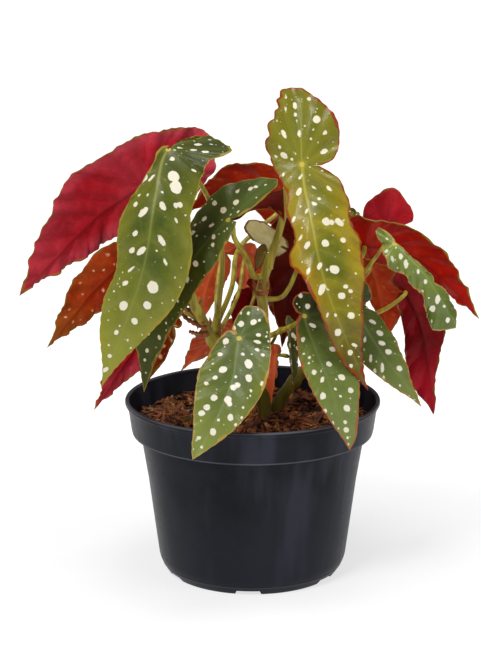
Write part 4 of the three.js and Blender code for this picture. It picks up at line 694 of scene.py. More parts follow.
def paint(piece: Piece, *materials: Material) -> None:
    """Gives a piece its materials in place of any that it has."""
    piece.data.materials.clear()
    for material in materials:
        piece.data.materials.append(material)


def smooth_shade(piece: Piece, degrees: float) -> None:
    """Shades a piece smooth, apart from edges sharper than the angle."""
    only(piece)
    bpy.ops.object.shade_smooth_by_angle(angle=math.radians(degrees))


def join(pieces: list[Piece], name: str) -> Piece:
    """Joins pieces in one object.

    Args:
        pieces: What is joined. The first takes in the rest.
        name: The name of the result.

    Returns:
        The joined piece.
    """
    only(pieces[0])
    for piece in pieces[1:]:
        piece.select_set(True)
    if len(pieces) > 1:
        bpy.ops.object.join()
    result = bpy.context.object
    result.name = result.data.name = name
    return result


def close_up(piece: Piece, outwards: bool = True, gap: float = 0.002) -> None:
    """Merges a piece's doubled points, and turns the faces of a closed one outwards.

    Args:
        piece: The piece.
        outwards: Whether the faces are turned too.
        gap: How near doubled points lie, in millimetres.
    """
    with editing(piece):
        bpy.ops.mesh.remove_doubles(threshold=gap * MM)
        if outwards:
            bpy.ops.mesh.normals_make_consistent(inside=False)


def sheet(name: str, points: Array, **kept: tuple[Array, Array, Array]) -> Piece:
    """Adds a grid and moves its points onto a shape.

    Args:
        name: The name of the new piece.
        points: The places in millimetres, [column, row, xyz].
        kept: The points' attributes, three numbers each, [column, row].

    Returns:
        The piece, with a UV map that runs from 0 to 1 both ways.
    """
    columns, rows = points.shape[0] - 1, points.shape[1] - 1
    bpy.ops.mesh.primitive_grid_add(x_subdivisions=columns, y_subdivisions=rows, size=1.0)
    piece = bpy.context.object
    piece.name = piece.data.name = name
    flat = np.empty(len(piece.data.vertices) * 3)
    piece.data.vertices.foreach_get("co", flat)
    flat = flat.reshape(-1, 3)
    i = np.rint((flat[:, 0] + 0.5) * columns).astype(int)
    j = np.rint((flat[:, 1] + 0.5) * rows).astype(int)
    piece.data.vertices.foreach_set("co", (points[i, j] * MM).ravel())
    piece.data.update()
    for key, values in kept.items():
        attribute = piece.data.attributes.new(key, "FLOAT_VECTOR", "POINT")
        attribute.data.foreach_set("vector", np.stack(values, axis=-1)[i, j].astype(np.float32).ravel())
    return piece


def bar(
    name: str, path: SmoothPath, radius: Callable[[Array], Array], rings: int, sides: int,
    squash: float = 1.0,
) -> Piece:
    """A round closed bar along a path, whose radius changes along it.

    Args:
        name: The name of the new piece.
        path: The path, in millimetres.
        radius: Gives the radii at shares of the length.
        rings: The steps along the path.
        sides: The faces round it.
        squash: The bar's thickness as a share of its width.

    Returns:
        The piece.
    """
    share = np.concatenate([[0], np.linspace(0, 1, rings + 1), [1]])
    centre = path.at(share)
    along = path.tangent(share)
    radii = np.asarray(radius(share), float)
    radii[[0, -1]] = 0
    first = np.cross(along[0], (0.3, 0.9, 0.1))
    frames = [unit(first)]
    for step in along[1:]:
        last = frames[-1]
        frames.append(unit(last - step * np.dot(last, step)))
    normal = np.array(frames)
    other = np.cross(along, normal)
    turn = 2 * math.pi * np.arange(sides + 1) / sides
    ring = normal[:, None] * np.cos(turn)[None, :, None]
    ring = ring + other[:, None] * np.sin(turn)[None, :, None] * squash
    points = centre[:, None] + ring * radii[:, None, None]
    piece = sheet(name, points)
    close_up(piece)
    return piece


def finish_piece(piece: Piece, slot: Slot, *nodes: str) -> None:
    """Sets a finished piece on its body and hides the solids of the frame that it replaces.

    Args:
        piece: The piece, whose place is in its mesh.
        slot: The material slot of the record that it follows; it is not used.
        nodes: The solids of the frame that it replaces.
    """
    settle(piece)
    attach(piece, BODY)
    if nodes:
        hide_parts(*nodes)
    LOG.info("%s: %d faces", piece.name, len(piece.data.polygons))


# Materials


BLACK = (0.0, 0.0, 0.0, 1.0)
WHITE = (1.0, 1.0, 1.0, 1.0)


class Graph:
    """A node tree with short words for adding and joining nodes."""

    def __init__(self, tree: NodeTree) -> None:
        """Keeps the tree."""
        self.tree = tree

    def feed(self, socket: Output, value: Given) -> None:
        """Joins an output to a socket, or sets the socket's own value."""
        if isinstance(value, Output):
            self.tree.links.new(value, socket)
        else:
            socket.default_value = value

    def fill(self, node: Node, **values: Given) -> None:
        """Feeds a node's inputs, named with _ for a space, or numbered."""
        for key, value in values.items():
            self.feed(node.inputs[int(key) if key.isdigit() else key.replace("_", " ")], value)

    def add(self, kind: str, **values: object) -> Node:
        """Adds a node.

        Args:
            kind: The node's type.
            values: Its settings, and its inputs as in_name or in_number.

        Returns:
            The node.
        """
        node = self.tree.nodes.new(kind)
        for key, value in values.items():
            if not key.startswith("in_"):
                setattr(node, key, value)
        self.fill(node, **{key[3:]: value for key, value in values.items() if key.startswith("in_")})
        return node

    def group(self, tree: NodeTree, **values: Given) -> list[Output]:
        """The outputs of a node group that is given its inputs by name."""
        node = self.add("ShaderNodeGroup", node_tree=tree)
        self.fill(node, **values)
        return list(node.outputs)

    def mix(self, first: Given, second: Given, share: Given) -> Output:
        """A mix of two colours."""
        node = self.add("ShaderNodeMix", data_type="RGBA", clamp_factor=True)
        self.fill(node, **{"0": share, "6": first, "7": second})
        return node.outputs[2]

    def math(self, operation: str, first: Given, second: Given = 0.0) -> Output:
        """The result of an operation on two values."""
        return self.add("ShaderNodeMath", operation=operation, in_0=first, in_1=second).outputs[0]

    def times(self, first: Given, second: Given) -> Output:
        """The product of two values."""
        return self.math("MULTIPLY", first, second)

    def step(self, value: Given, low: float, high: float, start: float = 0.0, end: float = 1.0) -> Output:
        """A soft step of a value from start at low to end at high."""
        node = self.add("ShaderNodeMapRange", interpolation_type="SMOOTHSTEP")
        for socket, given in zip(node.inputs[:5], (value, low, high, start, end)):
            self.feed(socket, given)
        return node.outputs[0]

    def noise(self, place: Given, scale: Given, detail: float, rough: float = 0.55) -> Output:
        """A cloudy value from 0 to 1."""
        node = self.add("ShaderNodeTexNoise", in_Scale=scale, in_Detail=detail, in_Roughness=rough)
        self.feed(node.inputs["Vector"], place)
        return node.outputs["Fac"]

    def cells(self, place: Given, scale: float) -> tuple[Output, list[Output]]:
        """Uneven cells: how far each point is from its cell's middle, and three numbers for each cell."""
        node = self.add("ShaderNodeTexVoronoi", in_Scale=scale, in_Vector=place)
        tones = self.add("ShaderNodeSeparateColor", in_Color=node.outputs["Color"])
        return node.outputs["Distance"], list(tones.outputs)

    def parts(self, vector: Given) -> list[Output]:
        """The three parts of a vector."""
        return list(self.add("ShaderNodeSeparateXYZ", in_Vector=vector).outputs)


def new_group(
    name: str, inputs: dict[str, float | None], *outputs: str
) -> tuple[Graph, dict[str, Output], Node]:
    """Starts a shader node group with named sockets.

    Args:
        name: The group's name.
        inputs: Its inputs: a default value each, or none for a vector.
        outputs: Its outputs, each a value.

    Returns:
        The graph inside it, its inputs by name, and the node that takes its outputs.
    """
    tree = bpy.data.node_groups.new(name, "ShaderNodeTree")
    for key, default in inputs.items():
        kind = "NodeSocketVector" if default is None else "NodeSocketFloat"
        socket = tree.interface.new_socket(name=key, in_out="INPUT", socket_type=kind)
        if default is not None:
            socket.default_value = default
    for key in outputs:
        tree.interface.new_socket(name=key, in_out="OUTPUT", socket_type="NodeSocketFloat")
    entry = tree.nodes.new("NodeGroupInput")
    leave = tree.nodes.new("NodeGroupOutput")
    return Graph(tree), dict(entry.outputs.items()), leave


class Effects:
    """The node groups that several materials share, each built once."""

    def __init__(self) -> None:
        """Builds the groups."""
        self.mottle = self._mottle()
        self.marks = self._marks()
        self.skin = self._skin()

    def _mottle(self) -> NodeTree:
        """Cloudy variation at two scales, as a mask each."""
        graph, given, leave = new_group(
            "mottle", {"Place": None, "Broad": 30.0, "Fine": 160.0}, "Broad Mask", "Fine Mask")
        for key in ("Broad", "Fine"):
            cloud = graph.noise(given["Place"], given[key], 4.0, 0.6)
            graph.feed(leave.inputs[key + " Mask"], graph.step(cloud, 0.36, 0.64))
        return graph.tree

    def _marks(self) -> NodeTree:
        """Spots, veins and rim of a blade, from its stored distances."""
        graph, given, leave = new_group(
            "leaf_marks", {"Fields": None, "Place": None, "Softness": 0.25, "Dots": 1.0, "Rim Width": 0.9},
            "Spots", "Veins", "Rim", "Inside", "Star")
        place = given["Place"]
        spot, vein, edge = graph.parts(given["Fields"])
        cloud = graph.add("ShaderNodeTexNoise", in_Scale=38.0, in_Detail=3.0, in_Vector=place).outputs
        shift = graph.times(graph.math("SUBTRACT", cloud["Fac"], 0.5), 1.5)
        level = graph.math("DIVIDE", graph.math("ADD", spot, shift), given["Softness"])
        gap, tones = graph.cells(place, 26.0)
        size = graph.step(tones[0], 0.45, 1.0, 0.02, 0.17)
        dot = graph.step(graph.math("SUBTRACT", gap, size), 0.03, -0.03)
        near = graph.times(graph.step(edge, 12.0, 3.0, 0.25, 1.0), graph.step(edge, 0.6, 1.2))
        small = graph.times(graph.times(dot, near), given["Dots"])
        bent = graph.add("ShaderNodeVectorMath", operation="MULTIPLY_ADD", in_0=cloud["Color"],
                         in_1=(0.03, 0.03, 0.0), in_2=place).outputs[0]
        net = graph.add("ShaderNodeTexVoronoi", feature="DISTANCE_TO_EDGE", in_Scale=17.0, in_Vector=bent)
        fine = graph.times(graph.step(net.outputs["Distance"], 0.07, 0.0), 0.28)
        radius = graph.add("ShaderNodeVectorMath", operation="LENGTH", in_0=place).outputs["Value"]
        roll = graph.step(graph.noise(place, 8.0, 1.0), 0.5, 0.68, 0.0, 1.3)
        wide = graph.math("DIVIDE", graph.math("SUBTRACT", edge, roll), given["Rim Width"])
        graph.fill(
            leave, Spots=graph.math("MAXIMUM", graph.step(level, 1.0, -1.0), small),
            Veins=graph.math("MAXIMUM", vein, fine), Rim=graph.step(wide, 1.0, 0.25), Inside=edge,
            Star=graph.step(radius, 0.06, 0.0))
        return graph.tree

    def _skin(self) -> NodeTree:
        """The fine relief of a blade or stem: pebbled cells and small dimples, as a height."""
        graph, given, leave = new_group(
            "living_skin", {"Place": None, "Cells": 900.0, "Veins": 0.0, "Vein Depth": 0.0}, "Height")
        cells = graph.add("ShaderNodeTexVoronoi", feature="SMOOTH_F1", in_Smoothness=0.6,
                          in_Vector=given["Place"], in_Scale=given["Cells"])
        cloud = graph.noise(given["Place"], 260.0, 3.0)
        height = graph.math("ADD", graph.times(cells.outputs["Distance"], -0.5), cloud)
        deep = graph.times(given["Veins"], given["Vein Depth"])
        graph.fill(leave, Height=graph.math("SUBTRACT", height, deep))
        return graph.tree


class Surface(Graph):
    """The nodes of a new material, round its main shader."""

    def __init__(self, name: str) -> None:
        """Starts the material."""
        self.material = bpy.data.materials.new(name)
        self.material.use_nodes = True
        super().__init__(self.material.node_tree)
        self.shader = self.tree.nodes["Principled BSDF"]
        self.place = self.add("ShaderNodeTexCoord").outputs["Object"]

    def streaks(self, across: float, along: float, detail: float) -> Output:
        """Upright streaks, from how many there are in a metre across and along them."""
        stretch = self.add("ShaderNodeMapping", in_Vector=self.place, in_Scale=(across, across, along))
        return self.noise(stretch.outputs[0], 1.0, detail)

    def relief(self, height: Output, strength: float, depth: float) -> None:
        """Gives the surface a fine relief, its depth in metres."""
        bump = self.add("ShaderNodeBump", in_Strength=strength, in_Distance=depth, in_Height=height)
        self.fill(self.shader, Normal=bump.outputs["Normal"])


class LeafMaterials:
    """The two sides of the blades, one material for each finish."""

    def __init__(self, effects: Effects) -> None:
        """Keeps the shared effects."""
        self.effects = effects
        self.made: dict[str, Material] = {}

    def side(self, finish: TopFinish | UnderFinish) -> Material:
        """The material of a blade's side.

        Args:
            finish: The side's finish.

        Returns:
            The material, made at its first use.
        """
        if finish.name not in self.made:
            self.made[finish.name] = self._make(finish)
        return self.made[finish.name]

    def _make(self, finish: TopFinish | UnderFinish) -> Material:
        """Builds the nodes of one side.

        Args:
            finish: The side's finish.

        Returns:
            The material.
        """
        upper = isinstance(finish, TopFinish)
        graph = Surface("leaf_" + finish.name)
        fields = graph.add("ShaderNodeAttribute", attribute_name="fields").outputs["Vector"]
        flat = graph.add("ShaderNodeTexCoord").outputs["UV"]
        spots, veins, rim, inside, star = graph.group(
            self.effects.marks, Fields=fields, Place=flat, Softness=finish.softness, Dots=finish.dots,
            Rim_Width=finish.rim_width)
        broad, fine = graph.group(self.effects.mottle, Place=graph.place, Broad=34.0, Fine=190.0)
        inner = graph.step(inside, 1.0, finish.margin_reach)
        colour = graph.mix(linear(finish.margin), linear(finish.core), inner)
        colour = graph.mix(colour, linear(finish.patch), graph.times(broad, 0.65))
        colour = graph.mix(colour, graph.mix(colour, BLACK, 0.16), fine)
        along = graph.parts(graph.add("ShaderNodeAttribute", attribute_name="flat").outputs["Vector"])[2]
        colour = graph.mix(colour, linear(finish.tip), graph.step(along, 0.4, 0.95, 0.0, 0.85))
        # The veins' skirt, stored in the fields, paints shade beside the veins where the vein colour is
        # dark.
        lines = graph.times(graph.math("POWER", veins, finish.vein_fall), finish.vein_share)
        if upper:
            # Painted shade: the colour round the stalk fades in towards the stalk, dark where another leaf
            # shades the blade.
            colour = graph.mix(colour, linear(finish.base), graph.step(along, 0.3, -0.05, 0.0, 0.85))
            lines = graph.math("MAXIMUM", lines, graph.times(star, 0.5))
        colour = graph.mix(colour, linear(finish.vein), lines)
        if upper:
            colour = graph.mix(colour, linear("#c8b04c"), graph.step(star, 0.78, 0.85, 0.0, 0.8))
        colour = graph.mix(colour, linear(finish.spot), graph.times(spots, finish.spot_share))
        colour = graph.mix(colour, linear(finish.rim), graph.times(rim, 0.85))
        rough = graph.step(fine, 0.0, 1.0, finish.roughness - 0.05, finish.roughness + 0.08)
        graph.fill(graph.shader, Base_Color=colour, Roughness=rough, Specular_IOR_Level=finish.gloss)
        # Painted glow: emission of the spots on upper sides, and of the whole colour on lower sides, stands
        # in for light.
        if finish.painted_glow:
            painted_glow_colour = graph.mix(BLACK, linear(finish.spot), spots) if upper else colour
            graph.fill(graph.shader, Emission_Color=painted_glow_colour, Emission_Strength=finish.painted_glow)
        skin = graph.group(
            self.effects.skin, Place=graph.place, Cells=1100.0, Veins=veins, Vein_Depth=finish.vein_depth)
        graph.relief(skin[0], 0.35, 0.0004)
        return graph.material


class PlainMaterials:
    """The pot, the soil, the stems and the dried bits."""

    def __init__(self, effects: Effects) -> None:
        """Builds the materials."""
        self.effects = effects
        self.pot = self._pot()
        self.soil = self._soil()
        self.stem = self._stem()
        self.dried = self._litter("dried_scale", ("#aa6430", "#7a3c1a", "#c8884a"), 0.75)
        self.bark = self._litter("bark_chip", ("#8a4c24", "#2e160a", "#d69448"), 0.8)
        self.fibre = self._litter("coir_fibre", ("#b87c34", "#8a5020", "#dcaa58"), 0.75)
        self.moss = self._litter("moss", ("#5a7a2a", "#3f5a1c", "#7a9440"), 0.9)

    def _pot(self) -> Material:
        """Black thin-walled plastic with a faint sheen, upright streaks that are partly flow marks and
        partly painted sheen, and lighter towards the bottom.

        The band's foot, the rim's top and the seam above the foot carry painted highlights, thin grey lines.
        Each has a height and a half width, in metres, and a strength.
        """
        graph = Surface("pot_plastic")
        broad, fine = graph.group(self.effects.mottle, Place=graph.place, Broad=18.0, Fine=240.0)
        streaks = graph.streaks(42.0, 3.0, 3.0)
        height = graph.parts(graph.place)[2]
        colour = graph.mix(linear("#16171c"), linear("#1f2026"), broad)
        # Lighter upright streaks: partly flow marks, partly painted sheen.
        colour = graph.mix(colour, linear("#32343e"), graph.step(streaks, 0.48, 0.7, 0.0, 0.75))
        # Lighter towards the bottom.
        colour = graph.mix(colour, linear("#2b2c35"), graph.step(height, 0.085, 0.0, 0.0, 0.45))
        # Painted highlights: thin lighter lines where the edges would catch the light.
        painted_highlight_lines = ((0.0962, 0.0007, 0.75), (0.1176, 0.0008, 0.75), (0.0052, 0.0005, 0.35))
        for level, reach, strength in painted_highlight_lines:
            gap = graph.math("ABSOLUTE", graph.math("SUBTRACT", height, level))
            colour = graph.mix(colour, linear("#5a5b64"), graph.step(gap, reach, 0.0, 0.0, strength))
        rough = graph.math("ADD", graph.step(streaks, 0.3, 0.7, 0.3, 0.38), graph.times(fine, 0.05))
        graph.fill(graph.shader, Base_Color=colour, Roughness=rough, IOR=1.16)
        graph.relief(graph.noise(graph.place, 1500.0, 2.0), 0.12, 0.0002)
        return graph.material

    def _soil(self) -> Material:
        """Damp potting mix: dark brown crumbs with redder and lighter grains."""
        graph = Surface("soil_mix")
        broad, fine = graph.group(self.effects.mottle, Place=graph.place, Broad=60.0, Fine=700.0)
        grain, tones = graph.cells(graph.place, 420.0)
        colour = graph.mix(linear("#241309"), linear("#4a2814"), broad)
        colour = graph.mix(colour, linear("#7a4820"), graph.step(tones[0], 0.62, 0.95, 0.0, 0.85))
        colour = graph.mix(colour, linear("#0f0704"), graph.step(tones[1], 0.6, 0.9, 0.0, 0.8))
        graph.fill(graph.shader, Base_Color=colour, Roughness=0.93)
        graph.relief(graph.math("ADD", grain, fine), 0.8, 0.0012)
        return graph.material

    def _stem(self) -> Material:
        """Smooth olive stem, streaked along its length, with brown scars, painted shade towards its foot and
        a faint painted glow.
        """
        graph = Surface("stem_olive")
        broad = graph.group(self.effects.mottle, Place=graph.place, Broad=70.0, Fine=420.0)[0]
        streaks = graph.streaks(260.0, 24.0, 2.0)
        colour = graph.mix(linear("#aea236"), linear("#82791f"), graph.step(streaks, 0.35, 0.65))
        colour = graph.mix(colour, linear("#8a4e1c"), graph.times(broad, 0.16))
        height = graph.parts(graph.place)[2]
        # Painted shade: darker towards the foot, near the soil and under the leaves.
        colour = graph.mix(colour, linear("#33300f"), graph.step(height, 0.165, 0.112, 0.0, 0.8))
        # Painted glow: a faint emission that lightens the stems.
        graph.fill(
            graph.shader, Base_Color=colour, Emission_Color=colour, Emission_Strength=0.07, Roughness=0.34,
            Specular_IOR_Level=0.3)
        graph.relief(graph.group(self.effects.skin, Place=graph.place, Cells=1600.0)[0], 0.06, 0.0003)
        return graph.material

    def _litter(self, name: str, colours: tuple[str, str, str], rough: float) -> Material:
        """Dried or loose plant matter in three tones.

        Args:
            name: The material's name.
            colours: Its three tones.
            rough: Its roughness.

        Returns:
            The material.
        """
        graph = Surface(name)
        broad, fine = graph.group(self.effects.mottle, Place=graph.place, Broad=110.0, Fine=900.0)
        first, second, third = (linear(colour) for colour in colours)
        tones = graph.cells(graph.place, 190.0)[1]
        lighter = graph.times(graph.times(graph.step(tones[0], 0.5, 0.95), fine), 0.9)
        colour = graph.mix(graph.mix(first, second, broad), third, lighter)
        graph.fill(graph.shader, Base_Color=colour, Roughness=rough)
        graph.relief(fine, 0.5, 0.0005)
        return graph.material


# Leaves


VEIN_LEAN = 0.84
VEIN_SPACING = 19.0
LOBE_SPACING = 21.0
TOOTH_SPACING = 6.5
BLADE_THICK = 0.8
THICKEST = 1.7
FEWEST_ROWS = 10
MOST_ROWS = 44
MARGIN_STEPS = 240
LAP_COLUMNS = 24
LAP_ROWS = 8
THICK_LEVELS = 20
SPOT_LANES = (0.2, 0.5, 0.8)


class BladeSurface:
    """The curved surface that a blade follows: x along its rib, y across it, positive on the left."""

    def __init__(self, leaf: LeafShape) -> None:
        """Measures the rib.

        Args:
            leaf: The leaf's recipe.
        """
        points = [leaf.ear, *leaf.rib]
        self.leaf = leaf
        self.spine = SmoothPath(points, 400)
        self.total = self.spine.length
        self.ear = float(self.spine.lengths[round(400 / (len(points) - 1))])
        self.length = self.total - self.ear
        self.faces = np.array(leaf.faces, float)

    def frame_at(self, x: Array) -> tuple[Array, Array, Array, Array]:
        """The rib's point, direction, upward direction and leftward direction at each x.

        Args:
            x: Places along the rib, less than 0 in the lobe.

        Returns:
            The four, a row for each place.
        """
        share = np.clip((self.ear + x) / self.total, 0, 1)
        along = self.spine.tangent(share)
        back = smooth(0, 1, -x / self.ear)[:, None]
        ahead = smooth(0, 1, x / self.length)[:, None]
        lobe, middle, tip = self.faces
        face = np.where((x < 0)[:, None], middle + (lobe - middle) * back, middle + (tip - middle) * ahead)
        up = unit(face - along * np.sum(face * along, axis=1, keepdims=True))
        return self.spine.at(share), along, up, np.cross(up, along)

    def place(self, x: Array, y: Array, lift: Array) -> Array:
        """The points in space of blade points that stand lift above the blade's own surface.

        Args:
            x: Their places along the rib.
            y: Their places across it.
            lift: How far they stand above it.

        Returns:
            The points, a row each.
        """
        left = y >= 0
        crease = smooth(-0.5 * self.ear, 0.15 * self.length, x)
        fold = np.radians(np.where(left, self.leaf.fold[1], self.leaf.fold[0])) * crease
        curl = np.radians(np.where(left, self.leaf.curl[1], self.leaf.curl[0]))
        curl = curl * (0.35 + 0.65 * crease) / max(self.leaf.width) + 1e-6
        reach = np.abs(y)
        across = (np.sin(fold + curl * reach) - np.sin(fold)) / curl
        rise = (np.cos(fold) - np.cos(fold + curl * reach)) / curl
        centre, _, up, side = self.frame_at(x)
        return centre + side * (np.where(left, 1, -1) * across)[:, None] + up * (rise + lift)[:, None]


@dataclass
class HalfBlade:
    """One half of a blade as a net of lines from the rib, or from the stalk in the lobe, to the margin."""

    surface: BladeSurface
    half: Half
    cell: float
    lines: Array = field(init=False)
    ends: Array = field(init=False)
    edge: Array = field(init=False)
    veins: list[int] = field(init=False)
    bend: Array = field(init=False)
    rows: int = field(init=False)
    curve: SmoothPath = field(init=False)

    def __post_init__(self) -> None:
        """Lays out the lines and their ends on the margin."""
        leaf, length = self.surface.leaf, self.surface.length
        eared = self.half is leaf.eared_half
        shape = leaf.eared if eared else leaf.plain
        width = leaf.width[1] if eared else leaf.width[0]
        self.curve = SmoothPath([(x * (self.surface.ear if x < 0 else length), y * width) for x, y in shape])
        samples = self.curve.at(np.linspace(0, 1, MARGIN_STEPS + 1))
        start = np.clip((samples[:, 0] - VEIN_LEAN * np.abs(samples[:, 1])) / length, 0, 1)
        side_veins = max(4, round(length / VEIN_SPACING))
        between = max(2, math.ceil(length / side_veins / self.cell))
        stations = 1 - np.arange(1, side_veins * between + 1) / (side_veins * between)
        ends = []
        for station in stations:
            k = 1 + int(np.argmax(start[1:] <= station + 1e-12))
            share = (start[k - 1] - station) / max(1e-9, start[k - 1] - start[k])
            ends.append((k - 1 + min(1.0, max(0.0, share))) / MARGIN_STEPS)
        around = (1 - ends[-1]) * self.curve.length
        lobe_veins = max(1, round(around / LOBE_SPACING))
        lobe_between = max(2, math.ceil(around / lobe_veins / self.cell))
        count = lobe_veins * lobe_between
        ends += [ends[-1] + (1 - ends[-1]) * k / count for k in range(1, count + 1)]
        self.ends = np.array([0.0, *ends])
        self.lines = np.concatenate([[1.0], stations, np.zeros(count)]) * length
        self.bend = 1 + 0.4 * smooth(0, 0.25 * length, self.lines)
        self.edge = self.curve.at(self.ends)
        reach = np.hypot(self.edge[:, 0] - self.lines, self.edge[:, 1])
        self.rows = int(min(MOST_ROWS, max(FEWEST_ROWS, math.ceil(reach.max() / self.cell))))
        self.veins = [between * k for k in range(1, side_veins + 1)]
        self.veins += [side_veins * between + lobe_between * k for k in range(1, lobe_veins)]

    def toothed(self) -> Array:
        """How far the margin stands out at each line: uneven small teeth."""
        leaf = self.surface.leaf
        seed = leaf.seed + (0 if self.half is Half.LEFT else 31)
        run = self.ends * self.curve.length / TOOTH_SPACING
        k = np.floor(run).astype(int)
        within = run - k
        size = np.array([0.35 + draw(seed + 1.7 * n) for n in k])
        tooth = np.abs(within - 0.62) ** 0.8
        fade = smooth(0.01, 0.05, self.ends) * (1 - smooth(0.94, 1, self.ends))
        return leaf.tooth * (0.5 - 1.5 * tooth) * size * fade

    def waved(self, share: Array, v: Array) -> Array:
        """The lift of the waved edge, which dies out towards the rib.

        Args:
            share: The line's place on the margin.
            v: The share of the way from the rib to the margin.

        Returns:
            The lift in millimetres.
        """
        leaf = self.surface.leaf
        phase = 2 * math.pi * draw(leaf.seed + (0 if self.half is Half.LEFT else 17))
        fade = smooth(0, 0.12, share) * (1 - smooth(0.9, 1, share))
        turn = 2 * math.pi * leaf.waves * share + phase
        long_wave = np.sin(turn) + 0.4 * np.sin(2.3 * turn + 1.3 + phase)
        ruffle = 0.3 * np.sin(4.7 * turn + 2.0 * phase) * v**3
        return leaf.wave * (long_wave * v * v + ruffle) * fade

    def net(self) -> tuple[Array, Array, Array]:
        """The net's blade points and its lift.

        Returns:
            x, y and lift by line and row.
        """
        v = np.linspace(0, 1, self.rows + 1)[None, :]
        reach = np.maximum(np.hypot(self.edge[:, 0] - self.lines, self.edge[:, 1]), 1.0)
        stretch = v * (1 + (self.toothed() / reach)[:, None] * v**6)
        ahead = stretch * v ** (self.bend[:, None] - 1)
        x = self.lines[:, None] + (self.edge[:, 0] - self.lines)[:, None] * ahead
        y = self.half.value * self.edge[:, 1][:, None] * stretch
        return x, y, self.waved(self.ends[:, None], v)

    def vein_lines(self) -> list[Array]:
        """The half's veins, each as its points from the rib or stalk to the margin."""
        t = np.linspace(0, 1, 10)
        result = []
        for i in self.veins:
            x = self.lines[i] + (self.edge[i, 0] - self.lines[i]) * t ** self.bend[i]
            result.append(np.stack([x, self.half.value * self.edge[i, 1] * t], axis=-1))
        return result


@dataclass
class Leaf:
    """A leaf blade, in two halves with veins, spots, teeth and waves."""

    shape: LeafShape
    cell: float
    surface: BladeSurface = field(init=False)
    halves: list[HalfBlade] = field(init=False)

    def __post_init__(self) -> None:
        """Lays out the halves."""
        self.surface = BladeSurface(self.shape)
        self.halves = [HalfBlade(self.surface, half, self.cell) for half in Half]

    def vein_field(self, x: Array, y: Array) -> tuple[Array, Array]:
        """How much each blade point lies on a vein, from 0 to 1, with a faint wide skirt round each vein
        that on dark-veined lower sides is painted shade, and how far the nearest vein is.

        Args:
            x: The points' places along the rib.
            y: Their places across it.

        Returns:
            The two, in the shape of x.
        """
        rib = np.array([[0.0, 0.0], [self.surface.length, 0.0]])
        back = np.array([[0.0, 0.0], [-0.85 * self.surface.ear, 0.0]])
        lines = [(rib, 1.35, 0.5, 1.0), (back, 0.9, 0.4, 0.8)]
        lines += [(line, 0.85, 0.4, 0.5) for half in self.halves for line in half.vein_lines()]
        spot = np.stack([x, y], axis=-1)
        best, nearest = np.zeros(x.shape), np.full(x.shape, 30.0)
        for line, wide, narrow, strength in lines:
            count = len(line) - 1
            for k in range(count):
                way = line[k + 1] - line[k]
                t = np.clip(((spot - line[k]) @ way) / max(way @ way, 1e-9), 0, 1)
                gap = np.linalg.norm(spot - line[k] - t[..., None] * way, axis=-1)
                run = (k + t) / count
                width = wide + (narrow - wide) * run
                best = np.maximum(best, np.exp(-((gap / width) ** 2)) * strength * (1 - 0.6 * run))
                nearest = np.minimum(nearest, gap)
        # The faint wide skirt round the veins paints shade into the folds beside them where the vein colour
        # is dark.
        return np.maximum(best, 0.32 * np.exp(-((nearest / 4.0) ** 2))), nearest

    def margin_gap(self, x: Array, y: Array) -> Array:
        """How far each blade point lies from the margin, in millimetres.

        Args:
            x: The points' places along the rib.
            y: Their places across it.

        Returns:
            The gaps, in the shape of x.
        """
        rim = []
        for half in self.halves:
            points = half.curve.at(np.linspace(0, 1, 400))
            rim.append(np.stack([points[:, 0], half.half.value * points[:, 1]], axis=-1))
        rim = np.vstack(rim)
        flat = np.stack([x.ravel(), y.ravel()], axis=-1)
        gaps = np.concatenate([
            np.sqrt(((part[:, None] - rim[None]) ** 2).sum(-1)).min(1) for part in np.array_split(flat, 12)])
        return gaps.reshape(x.shape)

    def spot_list(self) -> Array:
        """The spots: x, y, radius, stretch and direction each."""
        rule = self.shape.spots
        rng = np.random.default_rng(int(self.shape.seed * 10) + 7)
        spots = [self._own_spot(*values) for values in rule.placed]
        for half in self.halves:
            marks = [0, *half.veins, len(half.lines) - 1]
            for low, high in zip(marks[:-1], marks[1:]):
                for lane in SPOT_LANES:
                    i = low + (high - low) * (lane + rng.uniform(-0.1, 0.1))
                    k = min(int(i), len(half.lines) - 2)
                    w = i - k
                    start = half.lines[k] * (1 - w) + half.lines[k + 1] * w
                    end = half.edge[k] * (1 - w) + half.edge[k + 1] * w
                    way = np.array([end[0] - start, half.half.value * end[1]])
                    reach = float(np.linalg.norm(way))
                    at = rng.uniform(3.5, 9.0)
                    while at < reach - 2.2:
                        small, large = rule.radii
                        radius = small + (large - small) * rng.uniform() ** 1.8
                        radius *= 1 - 0.45 * float(smooth(0.6, 1, at / reach))
                        run = at / reach
                        px, py = start + way[0] * run ** half.bend[k], way[1] * run
                        room = radius * 1.2 + 2.6
                        clear = all(math.hypot(px - s[0], py - s[1]) > s[2] * 1.2 + room for s in spots)
                        if clear and rng.uniform() < rule.density:
                            turn = math.atan2(way[1], way[0]) + rng.uniform(-0.4, 0.4)
                            spots.append((px, py, float(radius), rng.uniform(1.0, 1.8), turn))
                        at += rng.uniform(6.0, 12.0)
        return np.array(spots)

    def _own_spot(self, x: float, y: float, radius: float, stretch: float = 1.15) -> tuple[float, ...]:
        """One spot seen on the plant: it points outwards in the lobe and along the veins elsewhere."""
        turn = math.atan2(y, x) if x < 0 else math.copysign(0.7, y)
        return (x, y, radius / math.sqrt(stretch), stretch, turn)

    def spot_field(self, x: Array, y: Array) -> Array:
        """How far each blade point lies outside the nearest spot, in millimetres, less than 0 inside it.

        Args:
            x: The points' places along the rib.
            y: Their places across it.

        Returns:
            The gaps, in the shape of x.
        """
        best = np.full(x.shape, 6.0)
        for px, py, radius, stretch, turn in self.spot_list():
            dx, dy = x - px, y - py
            along = dx * math.cos(turn) + dy * math.sin(turn)
            across = dy * math.cos(turn) - dx * math.sin(turn)
            gap = np.hypot(along / stretch, across) - radius
            best = np.minimum(best, gap)
        return np.maximum(best, -3.0)

